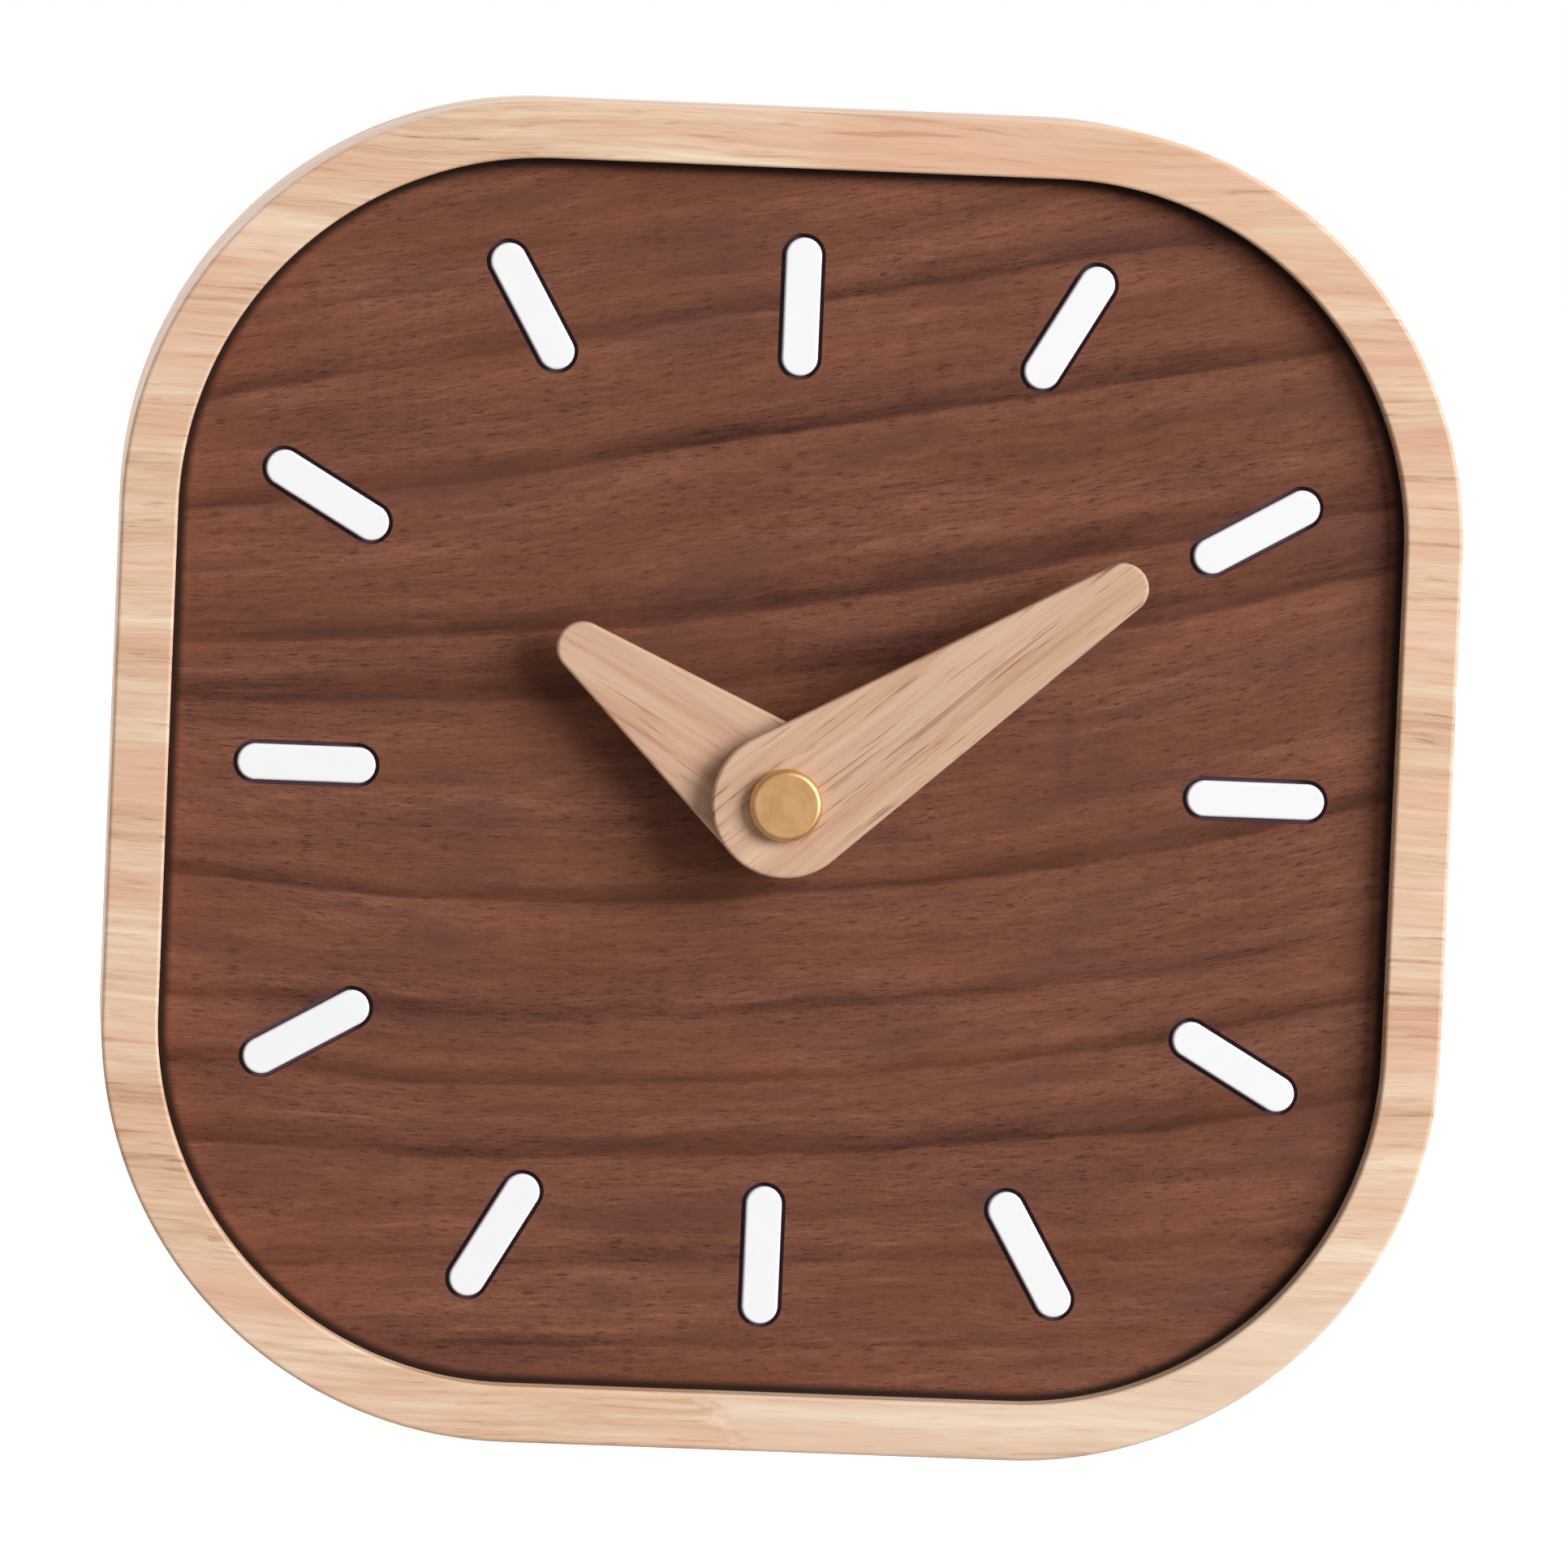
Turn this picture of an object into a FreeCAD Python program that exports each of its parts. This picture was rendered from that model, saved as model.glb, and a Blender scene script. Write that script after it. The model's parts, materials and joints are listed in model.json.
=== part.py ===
import FreeCAD, Part
import math
import os

# Desk clock: a square ring of pale wood with a walnut dial let into its front, wooden hands,
# and a battery quartz movement hung behind the dial on its threaded bushing.
# X runs to the right as the clock is seen from the front, Y to the back and Z up.
# The origin is under the middle of the whole clock, on the surface that it stands on.

# Case ring
case_width = 130.0
case_height = 130.0
case_depth = 32.0
case_corner_radius = 40.5
case_wall = 5.5
case_outer_bevel = 0.45
case_inner_bevel = 0.35
case_back_chamfer = 0.5
ledge_width = 4.0
dial_recess = 3.0

# Dial panel
dial_thickness = 5.0
dial_fit_gap = 0.1
bushing_hole_gap = 0.25

# Hour markers
hour_count = 12
hours_in_quarter = 3
marker_length = 13.4
marker_width = 3.5
marker_stand_out = 0.3
marker_gap = 0.4
slot_depth = 1.5
quarter_row_inset = 13.4
other_row_inset = 14.4

# Hands, which show nine minutes past ten
hand_axis_drop = 1.7
hand_thickness = 2.0
hand_hub_radius = 7.1
hand_edge_bevel = 0.35
minute_hand_reach = 38.7
minute_tip_radius = 2.45
minute_hand_degrees = 55.1
hour_hand_reach = 24.6
hour_tip_radius = 2.5
hour_hand_degrees = 305.4
hand_bush_flange = 0.5
hand_bush_wall = 0.9
hand_bush_rim = 1.0
cap_radius = 3.5
cap_height = 1.6
cap_chamfer = 0.3
cap_top_wall = 0.7

# Fastening through the dial
bushing_radius = 4.0
bushing_flange_radius = 5.2
bushing_flange = 0.8
bushing_stand_out = 0.3
washer_radius = 6.2
washer_thickness = 0.5
nut_across_flats = 10.0
nut_thickness = 2.4
nut_sides = 6
gasket_radius = 9.0
gasket_thickness = 0.8

# Fits
running_gap = 0.06
thread_gap = 0.03
end_gap = 0.3
overrun = 1.0

# Movement housing
movement_width = 56.0
movement_depth = 16.0
movement_corner_radius = 3.0
movement_wall = 1.2
cover_thickness = 1.4
cover_lip = 0.8
cover_lip_wall = 1.0
cover_fit_gap = 0.1
hook_width = 4.0
hook_length = 2.8
hook_catch = 0.6
hook_catch_height = 1.0
hook_slot_gap = 0.2
hook_rise = 18.0
hook_fall = 1.0
bearing_radius = 1.4
bearing_depth = 0.7

# Battery, an AA cell lying along the bottom of the movement
cell_radius = 7.25
cell_length = 50.5
cell_nub_radius = 2.75
cell_nub_length = 1.3
cell_chamfer = 0.6
cell_gap = 0.3
cell_floor_gap = 0.15
partition_wall = 0.8
contact_thickness = 0.3
contact_width = 6.0
contact_dimple_radius = 1.8
contact_tab_width = 3.0
contact_gap = 0.05

# Wheels of the movement
wheel_thickness = 0.8
layer_spacing = 1.45
half_tooth_share = 0.5
pinion_overhang = 0.15
arbor_radius = 0.5
addendum_share = 0.85
dedendum_share = 1.2
wheel_root_share = 0.29
wheel_tip_share = 0.09
pinion_root_share = 0.19
pinion_pitch_share = 0.17
pinion_tip_share = 0.07

# Motion work, from the minute arbor to the hour wheel and to the setting knob
motion_distance = 7.2
motion_angle = 180.0
setting_distance = 7.2
cannon_teeth = 12
minute_wheel_teeth = 36
minute_pinion_teeth = 10
hour_wheel_teeth = 40
setting_teeth = 12
hour_pipe_radius = 2.5
minute_arbor_radius = 1.6
minute_arbor_flats = 2.4
arbor_thread_radius = 1.2
post_radius = 0.6
friction_spring_radius = 2.6
friction_spring_thickness = 0.3
knob_radius = 6.0
knob_height = 3.2
knob_stem_radius = 1.2
knob_grip_count = 12
knob_grip_radius = 0.8
knob_chamfer = 0.4

# Going train, from the rotor to the centre wheel
third_distance = 9.5
third_angle = 0.0
intermediate_distance = 9.8
intermediate_angle = 115.0
rotor_distance = 7.2
rotor_angle = 55.0
rotor_teeth = 8
intermediate_teeth = 40
intermediate_pinion_teeth = 8
seconds_teeth = 48
seconds_pinion_teeth = 8
third_teeth = 60
third_pinion_teeth = 8
centre_teeth = 64

# Step motor
magnet_radius = 2.2
magnet_thickness = 2.0
air_gap = 0.4
stator_thickness = 0.8
stator_half_width = 14.4
stator_bar_height = 6.8
stator_leg_width = 3.8
stator_neck_radius = 0.7
core_height = 3.2
coil_rise = 8.2
coil_length = 18.0
coil_radius = 2.9
bobbin_radius = 1.9
bobbin_flange_radius = 3.2
bobbin_flange = 0.6
stake_radius = 0.8
stake_stand_out = 0.4

# Circuit board
board_width = 11.6
board_height = 18.0
board_thickness = 0.8
board_inset = 1.6
board_post_radius = 1.2
board_post_inset = 1.8
chip_radius = 2.6
chip_height = 0.8
chip_chamfer = 0.5
crystal_radius = 1.0
crystal_length = 6.0

# Shares of a full turn
full_turn = 360.0
half_turn = 180.0
quarter_turn = 90.0
corner_count = 4

# Heights above the dial's front of what is stacked on the bushing
bushing_top = washer_thickness + nut_thickness + bushing_stand_out
hour_bush_bottom = bushing_top + end_gap
hour_hand_bottom = hour_bush_bottom + hand_bush_flange
hour_hand_top = hour_hand_bottom + hand_thickness
minute_bush_bottom = hour_hand_top + end_gap
minute_hand_bottom = minute_bush_bottom + hand_bush_flange
minute_hand_top = minute_hand_bottom + hand_thickness
stack_height = minute_hand_top + cap_height

# Depths along Y, from the face of the cap to the back of the case
total_depth = case_depth - dial_recess + stack_height
cap_face = -total_depth / 2
dial_front = cap_face + stack_height
dial_back = dial_front + dial_thickness
case_front = dial_front - dial_recess
case_back = case_front + case_depth
movement_front = dial_back + gasket_thickness
movement_back = movement_front + movement_depth
plate_inner = movement_front + movement_wall
cover_front = movement_back - cover_thickness

# Layers of wheels inside the movement, each the depth of a wheel's front face
hour_layer = plate_inner + bushing_flange + end_gap
minute_layer = hour_layer + layer_spacing
centre_layer = minute_layer + layer_spacing
third_layer = centre_layer + layer_spacing
seconds_layer = third_layer + layer_spacing
intermediate_layer = seconds_layer + layer_spacing
magnet_front = intermediate_layer + layer_spacing
stator_front = magnet_front + (magnet_thickness - stator_thickness) / 2
core_front = stator_front - stator_thickness

# Places in the plane of the dial
case_middle = case_height / 2
axis_height = case_middle - hand_axis_drop
movement_half = movement_width / 2
inner_half = movement_half - movement_wall
cell_height = axis_height - inner_half + cell_gap + cell_radius
cell_depth = plate_inner + cell_floor_gap + cell_radius
partition_bottom = cell_height + cell_radius + cell_gap
partition_top = partition_bottom + partition_wall
backwards = FreeCAD.Vector(0, 1, 0)


def polar(distance, degrees, x=0.0, z=axis_height):
    """Place at a distance and angle from a point, the angle counted from +X towards +Z."""
    angle = math.radians(degrees)
    return (x + distance * math.cos(angle), z + distance * math.sin(angle))


# Axes of the wheels that don't turn about the middle
minute_wheel_axis = polar(motion_distance, motion_angle)
setting_axis = polar(setting_distance, motion_angle, *minute_wheel_axis)
third_axis = polar(third_distance, third_angle)
intermediate_axis = polar(intermediate_distance, intermediate_angle)
rotor_axis = polar(rotor_distance, rotor_angle, *intermediate_axis)
middle_axis = (0.0, axis_height)
coil_height = rotor_axis[1] + coil_rise


def bar(radius, front, back, axis=middle_axis):
    """Round bar that runs from front to back along Y."""
    base = FreeCAD.Vector(axis[0], front, axis[1])
    return Part.makeCylinder(radius, back - front, base, backwards)


def tube(radius, bore, front, back, axis=middle_axis):
    """Round tube along Y."""
    return bar(radius, front, back, axis).cut(bar(bore, front - overrun, back + overrun, axis))


def block(left, right, front, back, bottom, top):
    """Rectangular block between six planes."""
    corner = FreeCAD.Vector(left, front, bottom)
    return Part.makeBox(right - left, back - front, top - bottom, corner)


def prism(wire, front, back):
    """Solid swept from a closed outline drawn at the front to the back."""
    return Part.Face(wire).extrude(backwards * (back - front))


def rounded_plate(width, height, radius, front, back, middle):
    """Plate with four round corners, facing forwards."""
    arcs = []
    for corner in range(corner_count):
        start = quarter_turn * corner
        side_x = math.copysign(width / 2 - radius, math.cos(math.radians(start + quarter_turn / 2)))
        side_z = math.copysign(height / 2 - radius, math.sin(math.radians(start + quarter_turn / 2)))
        points = []
        for turn in (start, start + quarter_turn / 2, start + quarter_turn):
            x, z = polar(radius, turn, side_x, middle + side_z)
            points.append(FreeCAD.Vector(x, front, z))
        arcs.append(Part.Arc(*points).toShape())
    edges = []
    for corner in range(corner_count):
        following = arcs[(corner + 1) % corner_count]
        edges.append(arcs[corner])
        edges.append(Part.makeLine(arcs[corner].lastVertex().Point, following.firstVertex().Point))
    return prism(Part.Wire(Part.__sortEdges__(edges)), front, back)


def edges_at(shape, depth):
    """Edges of a shape that lie in one plane across Y."""
    tolerance = shape.BoundBox.YLength / full_turn / full_turn
    flat = []
    for edge in shape.Edges:
        box = edge.BoundBox
        if abs(box.YMin - depth) < tolerance and abs(box.YMax - depth) < tolerance:
            flat.append(edge)
    return flat


def inner_edges_at(shape, depth):
    """Edges round the opening of a flat face that lies across Y."""
    tolerance = shape.BoundBox.YLength / full_turn / full_turn
    inner = []
    for face in shape.Faces:
        box = face.BoundBox
        if abs(box.YMin - depth) < tolerance and abs(box.YMax - depth) < tolerance:
            for wire in face.Wires:
                if not wire.isSame(face.OuterWire):
                    inner.extend(wire.Edges)
    return inner


def tapered_outline(first_radius, second_radius, reach, depth):
    """Outline of two circles joined by their tangents, standing up from the first circle."""
    lean = math.asin((first_radius - second_radius) / reach)
    wide = first_radius * math.cos(lean)
    narrow = second_radius * math.cos(lean)
    low = first_radius * math.sin(lean)
    high = reach + second_radius * math.sin(lean)
    right_low = FreeCAD.Vector(wide, depth, low)
    left_low = FreeCAD.Vector(-wide, depth, low)
    right_high = FreeCAD.Vector(narrow, depth, high)
    left_high = FreeCAD.Vector(-narrow, depth, high)
    foot = FreeCAD.Vector(0, depth, -first_radius)
    tip = FreeCAD.Vector(0, depth, reach + second_radius)
    return Part.Wire([
        Part.Arc(left_low, foot, right_low).toShape(),
        Part.makeLine(right_low, right_high),
        Part.Arc(right_high, tip, left_high).toShape(),
        Part.makeLine(left_high, left_low),
    ])


def turned(shape, degrees, height):
    """Shape drawn about the origin, lifted to a height and turned clockwise as seen in front."""
    centre = FreeCAD.Vector(0, 0, height)
    shape.translate(centre)
    shape.rotate(centre, backwards, degrees)
    return shape


def pill(length, width, front, back, hour):
    """Bar with round ends that points at the middle of the dial at an hour's place."""
    degrees = full_turn / hour_count * hour
    outline = tapered_outline(width / 2, width / 2, length - width, front)
    shape = prism(outline, front, back)
    shape.translate(FreeCAD.Vector(0, 0, marker_distance(hour, degrees) - (length - width) / 2))
    return turned(shape, degrees, case_middle)


def marker_distance(hour, degrees):
    """Distance of a marker from the middle, on a rectangle that follows the edge of the dial."""
    inset = case_wall + (other_row_inset if hour % hours_in_quarter else quarter_row_inset)
    sideways = abs(math.sin(math.radians(degrees))) / (case_width / 2 - inset)
    upwards = abs(math.cos(math.radians(degrees))) / (case_height / 2 - inset)
    return 1 / max(sideways, upwards)


def tooth_angle(teeth):
    """Angle from one tooth to the next."""
    return full_turn / teeth


def meshing_turn(teeth, turn, direction, other_teeth):
    """Turn of a gear whose gap meets the tooth of another one that lies in a direction from it."""
    teeth_before = (direction - turn) / tooth_angle(teeth)
    place = teeth_before - math.floor(teeth_before)
    return direction + half_turn - (half_tooth_share - place) * tooth_angle(other_teeth)


def gear_outline(teeth, pitch_radius, turn, axis, depth, profile):
    """Closed outline of a gear, from the radius and share of a tooth's angle of its corners."""
    points = []
    for tooth in range(teeth):
        for radius, share in profile:
            x, z = polar(radius, turn + (tooth + share) * tooth_angle(teeth), *axis)
            points.append(FreeCAD.Vector(x, depth, z))
    points.append(points[0])
    return Part.makePolygon(points)


def wheel(teeth, pitch_radius, front, turn, axis=middle_axis):
    """Toothed wheel, with teeth that narrow evenly from root to tip."""
    module = 2 * pitch_radius / teeth
    root = pitch_radius - dedendum_share * module
    tip = pitch_radius + addendum_share * module
    profile = (
        (root, -wheel_root_share),
        (tip, -wheel_tip_share),
        (tip, wheel_tip_share),
        (root, wheel_root_share),
    )
    outline = gear_outline(teeth, pitch_radius, turn, axis, front, profile)
    return prism(outline, front, front + wheel_thickness)


def pinion(teeth, pitch_radius, layer, turn, axis=middle_axis):
    """Small gear a little longer than the wheel that it meets, with flanks that turn in at the tip."""
    module = 2 * pitch_radius / teeth
    root = pitch_radius - dedendum_share * module
    tip = pitch_radius + addendum_share * module
    profile = (
        (root, -pinion_root_share),
        (pitch_radius, -pinion_pitch_share),
        (tip, -pinion_tip_share),
        (tip, pinion_tip_share),
        (pitch_radius, pinion_pitch_share),
        (root, pinion_root_share),
    )
    front = layer - pinion_overhang
    outline = gear_outline(teeth, pitch_radius, turn, axis, front, profile)
    return prism(outline, front, layer + wheel_thickness + pinion_overhang)


# Turns of the gears, each set so that its teeth meet those of the gear before it
cannon_turn = 0.0
minute_wheel_turn = meshing_turn(cannon_teeth, cannon_turn, motion_angle, minute_wheel_teeth)
setting_turn = meshing_turn(minute_wheel_teeth, minute_wheel_turn, motion_angle, setting_teeth)
minute_pinion_turn = 0.0
hour_wheel_turn = meshing_turn(
    minute_pinion_teeth, minute_pinion_turn, motion_angle + half_turn, hour_wheel_teeth)
seconds_turn = 0.0
third_turn = meshing_turn(seconds_pinion_teeth, seconds_turn, third_angle, third_teeth)
centre_turn = meshing_turn(third_pinion_teeth, third_turn, third_angle + half_turn, centre_teeth)
intermediate_turn = meshing_turn(
    seconds_teeth, seconds_turn, intermediate_angle, intermediate_pinion_teeth)
rotor_turn = meshing_turn(intermediate_teeth, intermediate_turn, rotor_angle, rotor_teeth)


def pitch_radius(distance, teeth, other_teeth):
    """Pitch radius of a gear at a distance from the one that it meets."""
    return distance * teeth / (teeth + other_teeth)


def case_ring():
    """Wooden ring, bored wider in front for the dial and stepped in behind it."""
    bore = case_width - 2 * case_wall
    bore_height = case_height - 2 * case_wall
    bore_radius = case_corner_radius - case_wall
    ring = rounded_plate(
        case_width, case_height, case_corner_radius, case_front, case_back, case_middle)
    ring = ring.makeChamfer(case_outer_bevel, edges_at(ring, case_front))
    ring = ring.makeChamfer(case_back_chamfer, edges_at(ring, case_back))
    ring = ring.cut(rounded_plate(
        bore, bore_height, bore_radius, case_front - overrun, dial_back, case_middle))
    ring = ring.makeChamfer(case_inner_bevel, inner_edges_at(ring, case_front))
    return ring.cut(rounded_plate(
        bore - 2 * ledge_width, bore_height - 2 * ledge_width, bore_radius - ledge_width,
        dial_back - overrun, case_back + overrun, case_middle))


def dial_panel():
    """Walnut panel glued to the ledge, with a slot for each marker and a hole for the bushing."""
    inset = 2 * (case_wall + dial_fit_gap)
    radius = case_corner_radius - case_wall - dial_fit_gap
    panel = rounded_plate(
        case_width - inset, case_height - inset, radius, dial_front, dial_back, case_middle)
    for hour in range(hour_count):
        panel = panel.cut(pill(
            marker_length + 2 * marker_gap, marker_width + 2 * marker_gap,
            dial_front - overrun, dial_front + slot_depth, hour))
    hole = bar(bushing_radius + bushing_hole_gap, dial_front - overrun, dial_back + overrun)
    return panel.cut(hole)


def hour_marker(hour):
    """White inlay that rests on the floor of its slot."""
    front = dial_front - marker_stand_out
    return pill(marker_length, marker_width, front, dial_front + slot_depth, hour)


def hand(tip_radius, reach, bottom, degrees, bush_radius):
    """Tapered wooden hand with a round hub, softened all round its front."""
    front = dial_front - bottom - hand_thickness
    back = dial_front - bottom
    shape = prism(tapered_outline(hand_hub_radius, tip_radius, reach, front), front, back)
    shape = shape.makeChamfer(hand_edge_bevel, edges_at(shape, front))
    shape = turned(shape, degrees, axis_height)
    return shape.cut(bar(bush_radius, front - overrun, back + overrun))


def hand_bush(bore_solid, radius, bottom, top):
    """Brass bush with a rim behind the wooden hand, bored for its shaft."""
    rim = bar(radius + hand_bush_rim, dial_front - bottom - hand_bush_flange, dial_front - bottom)
    collar = bar(radius, dial_front - top, dial_front - bottom)
    return rim.fuse(collar).cut(bore_solid).removeSplitter()


def flatted_bar(front, back):
    """Stretch of the minute arbor with two flats, which keep the minute hand from slipping."""
    half = minute_arbor_flats / 2
    wide = minute_arbor_radius + overrun
    keep = block(-wide, wide, front, back, axis_height - half, axis_height + half)
    shape = bar(minute_arbor_radius, front, back).common(keep)
    return turned_about_axis(shape, minute_hand_degrees)


def turned_about_axis(shape, degrees):
    """Shape turned clockwise about the axis of the hands."""
    shape.rotate(FreeCAD.Vector(0, 0, axis_height), backwards, degrees)
    return shape


hour_bush_radius = hour_pipe_radius + hand_bush_wall
minute_bush_radius = minute_arbor_radius + hand_bush_wall


def hour_hand():
    return hand(hour_tip_radius, hour_hand_reach, hour_hand_bottom, hour_hand_degrees,
                hour_bush_radius)


def hour_hand_bush():
    """Bush pressed onto the hour pipe."""
    bore = bar(hour_pipe_radius, dial_front - hour_hand_top - overrun, dial_front)
    return hand_bush(bore, hour_bush_radius, hour_bush_bottom, hour_hand_top)


def minute_hand():
    return hand(minute_tip_radius, minute_hand_reach, minute_hand_bottom, minute_hand_degrees,
                minute_bush_radius)


def minute_hand_bush():
    """Bush with a flatted hole for the minute arbor."""
    bore = flatted_bar(dial_front - minute_hand_top - overrun, dial_front - hour_hand_top)
    return hand_bush(bore, minute_bush_radius, minute_bush_bottom, minute_hand_top)


def hand_cap():
    """Round brass cap nut, turned from bar, with a blind thread for the minute arbor."""
    back = dial_front - minute_hand_top
    cap = bar(cap_radius, cap_face, back)
    cap = cap.makeChamfer(cap_chamfer, edges_at(cap, cap_face))
    return cap.cut(bar(arbor_thread_radius + thread_gap, cap_face + cap_top_wall, back + overrun))


def bushing():
    """Threaded brass bushing, with a flange inside the movement and the hour pipe running in it."""
    front = dial_front - bushing_top
    flange = bar(bushing_flange_radius, plate_inner, plate_inner + bushing_flange)
    stem = bar(bushing_radius, front, plate_inner)
    bore = bar(hour_pipe_radius + running_gap, front - overrun, plate_inner + bushing_flange + overrun)
    return flange.fuse(stem).cut(bore).removeSplitter()


def bushing_washer():
    return tube(washer_radius, bushing_radius + thread_gap, dial_front - washer_thickness, dial_front)


def bushing_nut():
    """Thin six-sided nut that draws the movement against the dial."""
    back = dial_front - washer_thickness
    front = back - nut_thickness
    corner_radius = nut_across_flats / 2 / math.cos(math.pi / nut_sides)
    points = []
    for side in range(nut_sides + 1):
        x, z = polar(corner_radius, full_turn / nut_sides * side)
        points.append(FreeCAD.Vector(x, front, z))
    nut = prism(Part.makePolygon(points), front, back)
    return nut.cut(bar(bushing_radius + thread_gap, front - overrun, back + overrun))


def gasket():
    """Rubber ring between the movement and the back of the dial."""
    return tube(gasket_radius, bushing_radius + thread_gap, dial_back, movement_front)


def pivot_hole(axis, depth_inside):
    """Blind hole for the end of an arbor, on either side of an inner face."""
    return bar(arbor_radius + running_gap, depth_inside - bearing_depth, depth_inside + bearing_depth,
               axis)


def hooks(reach, gap):
    """Catches of the four snap hooks, or with a gap, the slots that they snap into."""
    shapes = []
    back = cover_front - hook_length + hook_catch_height + gap
    front = cover_front - hook_length - gap
    for side in (-1, 1):
        for height in (hook_rise, -hook_fall):
            ends = sorted((side * (inner_half - cover_lip_wall), side * (inner_half + reach)))
            shapes.append(block(
                ends[0], ends[1], front, back,
                axis_height + height - hook_width / 2 - gap, axis_height + height + hook_width / 2 + gap))
    return shapes


def movement_case():
    """Moulded box of the movement: front plate, walls, battery trough, posts and bearings."""
    case = rounded_plate(
        movement_width, movement_width, movement_corner_radius, movement_front, cover_front, axis_height)
    inner_width = movement_width - 2 * movement_wall
    case = case.cut(rounded_plate(
        inner_width, inner_width, movement_corner_radius - movement_wall, plate_inner,
        cover_front + overrun, axis_height))
    partition = block(
        -inner_half, inner_half, plate_inner, cover_front, partition_bottom, partition_top)
    case = case.fuse(partition)
    for axis in contact_slots():
        case = case.cut(axis)
    for place in stake_axes():
        case = case.fuse(bar(stake_radius * 2, plate_inner, core_front, place))
        stake_back = stator_front + stator_thickness + stake_stand_out
        case = case.fuse(bar(stake_radius, core_front, stake_back, place))
    post_back = minute_layer + wheel_thickness + pinion_overhang
    case = case.fuse(bar(post_radius, plate_inner, post_back, minute_wheel_axis))
    for axis in (third_axis, intermediate_axis, rotor_axis, setting_axis):
        case = case.cut(pivot_hole(axis, plate_inner))
    for slot in hooks(movement_wall + overrun, hook_slot_gap):
        case = case.cut(slot)
    case = case.cut(bar(bushing_radius + thread_gap, movement_front - overrun, plate_inner + overrun))
    return case.removeSplitter()


def contact_slots():
    """Notches at both ends of the partition that the battery contacts pass through."""
    shapes = []
    for side in (-1, 1):
        ends = sorted((side * (inner_half - 3 * contact_thickness), side * inner_half))
        shapes.append(block(
            ends[0], ends[1], cell_depth - contact_width / 2 - contact_gap, cover_front + overrun,
            partition_bottom - overrun, partition_top + overrun))
    return shapes


def stake_axes():
    """Axes of the two stakes that hold the stator and the core of the coil."""
    offset = stator_half_width - stator_leg_width / 2
    return ((-offset, coil_height), (offset, coil_height))


def board_posts():
    """Axes of the two posts that the circuit board rests on."""
    right = inner_half - board_inset - board_post_inset
    left = inner_half - board_inset - board_width + board_post_inset
    rise = board_height / 2 - board_post_inset
    return ((left, axis_height - rise), (right, axis_height + rise))


def movement_cover():
    """Moulded back of the movement, with its bearings, snap hooks and battery opening."""
    cover = rounded_plate(
        movement_width, movement_width, movement_corner_radius, cover_front, movement_back, axis_height)
    top = axis_height + inner_half
    lip_side = inner_half - cover_fit_gap
    lip_bottom = partition_top + cover_fit_gap
    lip_top = top - cover_fit_gap
    lip = block(-lip_side, lip_side, cover_front - cover_lip, cover_front, lip_bottom, lip_top)
    lip = lip.cut(block(
        -lip_side + cover_lip_wall, lip_side - cover_lip_wall, cover_front - cover_lip - overrun,
        cover_front, lip_bottom + cover_lip_wall, lip_top - cover_lip_wall))
    cover = cover.fuse(lip.common(rounded_plate(
        2 * lip_side, 2 * lip_side, movement_corner_radius - movement_wall,
        cover_front - cover_lip, cover_front, axis_height)))
    for side in (-1, 1):
        for height in (hook_rise, -hook_fall):
            ends = sorted((side * (lip_side - cover_lip_wall), side * lip_side))
            cover = cover.fuse(block(
                ends[0], ends[1], cover_front - hook_length, cover_front,
                axis_height + height - hook_width / 2, axis_height + height + hook_width / 2))
    for catch in hooks(hook_catch, 0):
        cover = cover.fuse(catch)
    for axis in (middle_axis, third_axis, intermediate_axis, rotor_axis):
        cover = cover.fuse(bar(bearing_radius, cover_front - bearing_depth, cover_front, axis))
        cover = cover.cut(pivot_hole(axis, cover_front - bearing_depth / 2))
    for place in board_posts():
        cover = cover.fuse(bar(board_post_radius, board_back(), cover_front, place))
    opening_half = cell_length / 2 + cell_gap
    cover = cover.cut(block(
        -opening_half, opening_half, cover_front - overrun, movement_back + overrun,
        cell_height - cell_radius - cell_gap, partition_bottom))
    stem_hole = bar(
        knob_stem_radius + running_gap, cover_front - overrun, movement_back + overrun, setting_axis)
    return cover.cut(stem_hole).removeSplitter()


def board_back():
    """Depth of the back face of the circuit board."""
    return cover_front - board_inset + contact_thickness


def battery_cell():
    """AA cell lying across the movement, with its positive nub to the right."""
    body_length = cell_length - cell_nub_length
    start = FreeCAD.Vector(-cell_length / 2, cell_depth, cell_height)
    across = FreeCAD.Vector(1, 0, 0)
    body = Part.makeCylinder(cell_radius, body_length, start, across)
    rims = [edge for edge in body.Edges if edge.Closed]
    body = body.makeChamfer(cell_chamfer, rims)
    nub = Part.makeCylinder(
        cell_nub_radius, cell_nub_length, start + across * body_length, across)
    return body.fuse(nub).removeSplitter()


def contact_leaf(side, top):
    """Springy strip against an end wall, with the dimple that presses on the cell."""
    outer = inner_half - contact_gap
    face = sorted((side * (outer - contact_thickness), side * outer))
    bottom = cell_height - contact_width / 2
    leaf = block(
        face[0], face[1], cell_depth - contact_width / 2, cell_depth + contact_width / 2, bottom, top)
    base = FreeCAD.Vector(side * (outer - contact_thickness), cell_depth, cell_height)
    reach = outer - contact_thickness - cell_length / 2 - contact_gap
    dimple = Part.makeCone(
        contact_dimple_radius, contact_dimple_radius / 2, reach, base, FreeCAD.Vector(-side, 0, 0))
    return leaf.fuse(dimple)


def contact_tab(left, right, bottom, top):
    """Flat end of a contact, lying against the front of the circuit board."""
    back = board_back() - board_thickness
    return block(left, right, back - contact_thickness, back, bottom, top)


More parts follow.
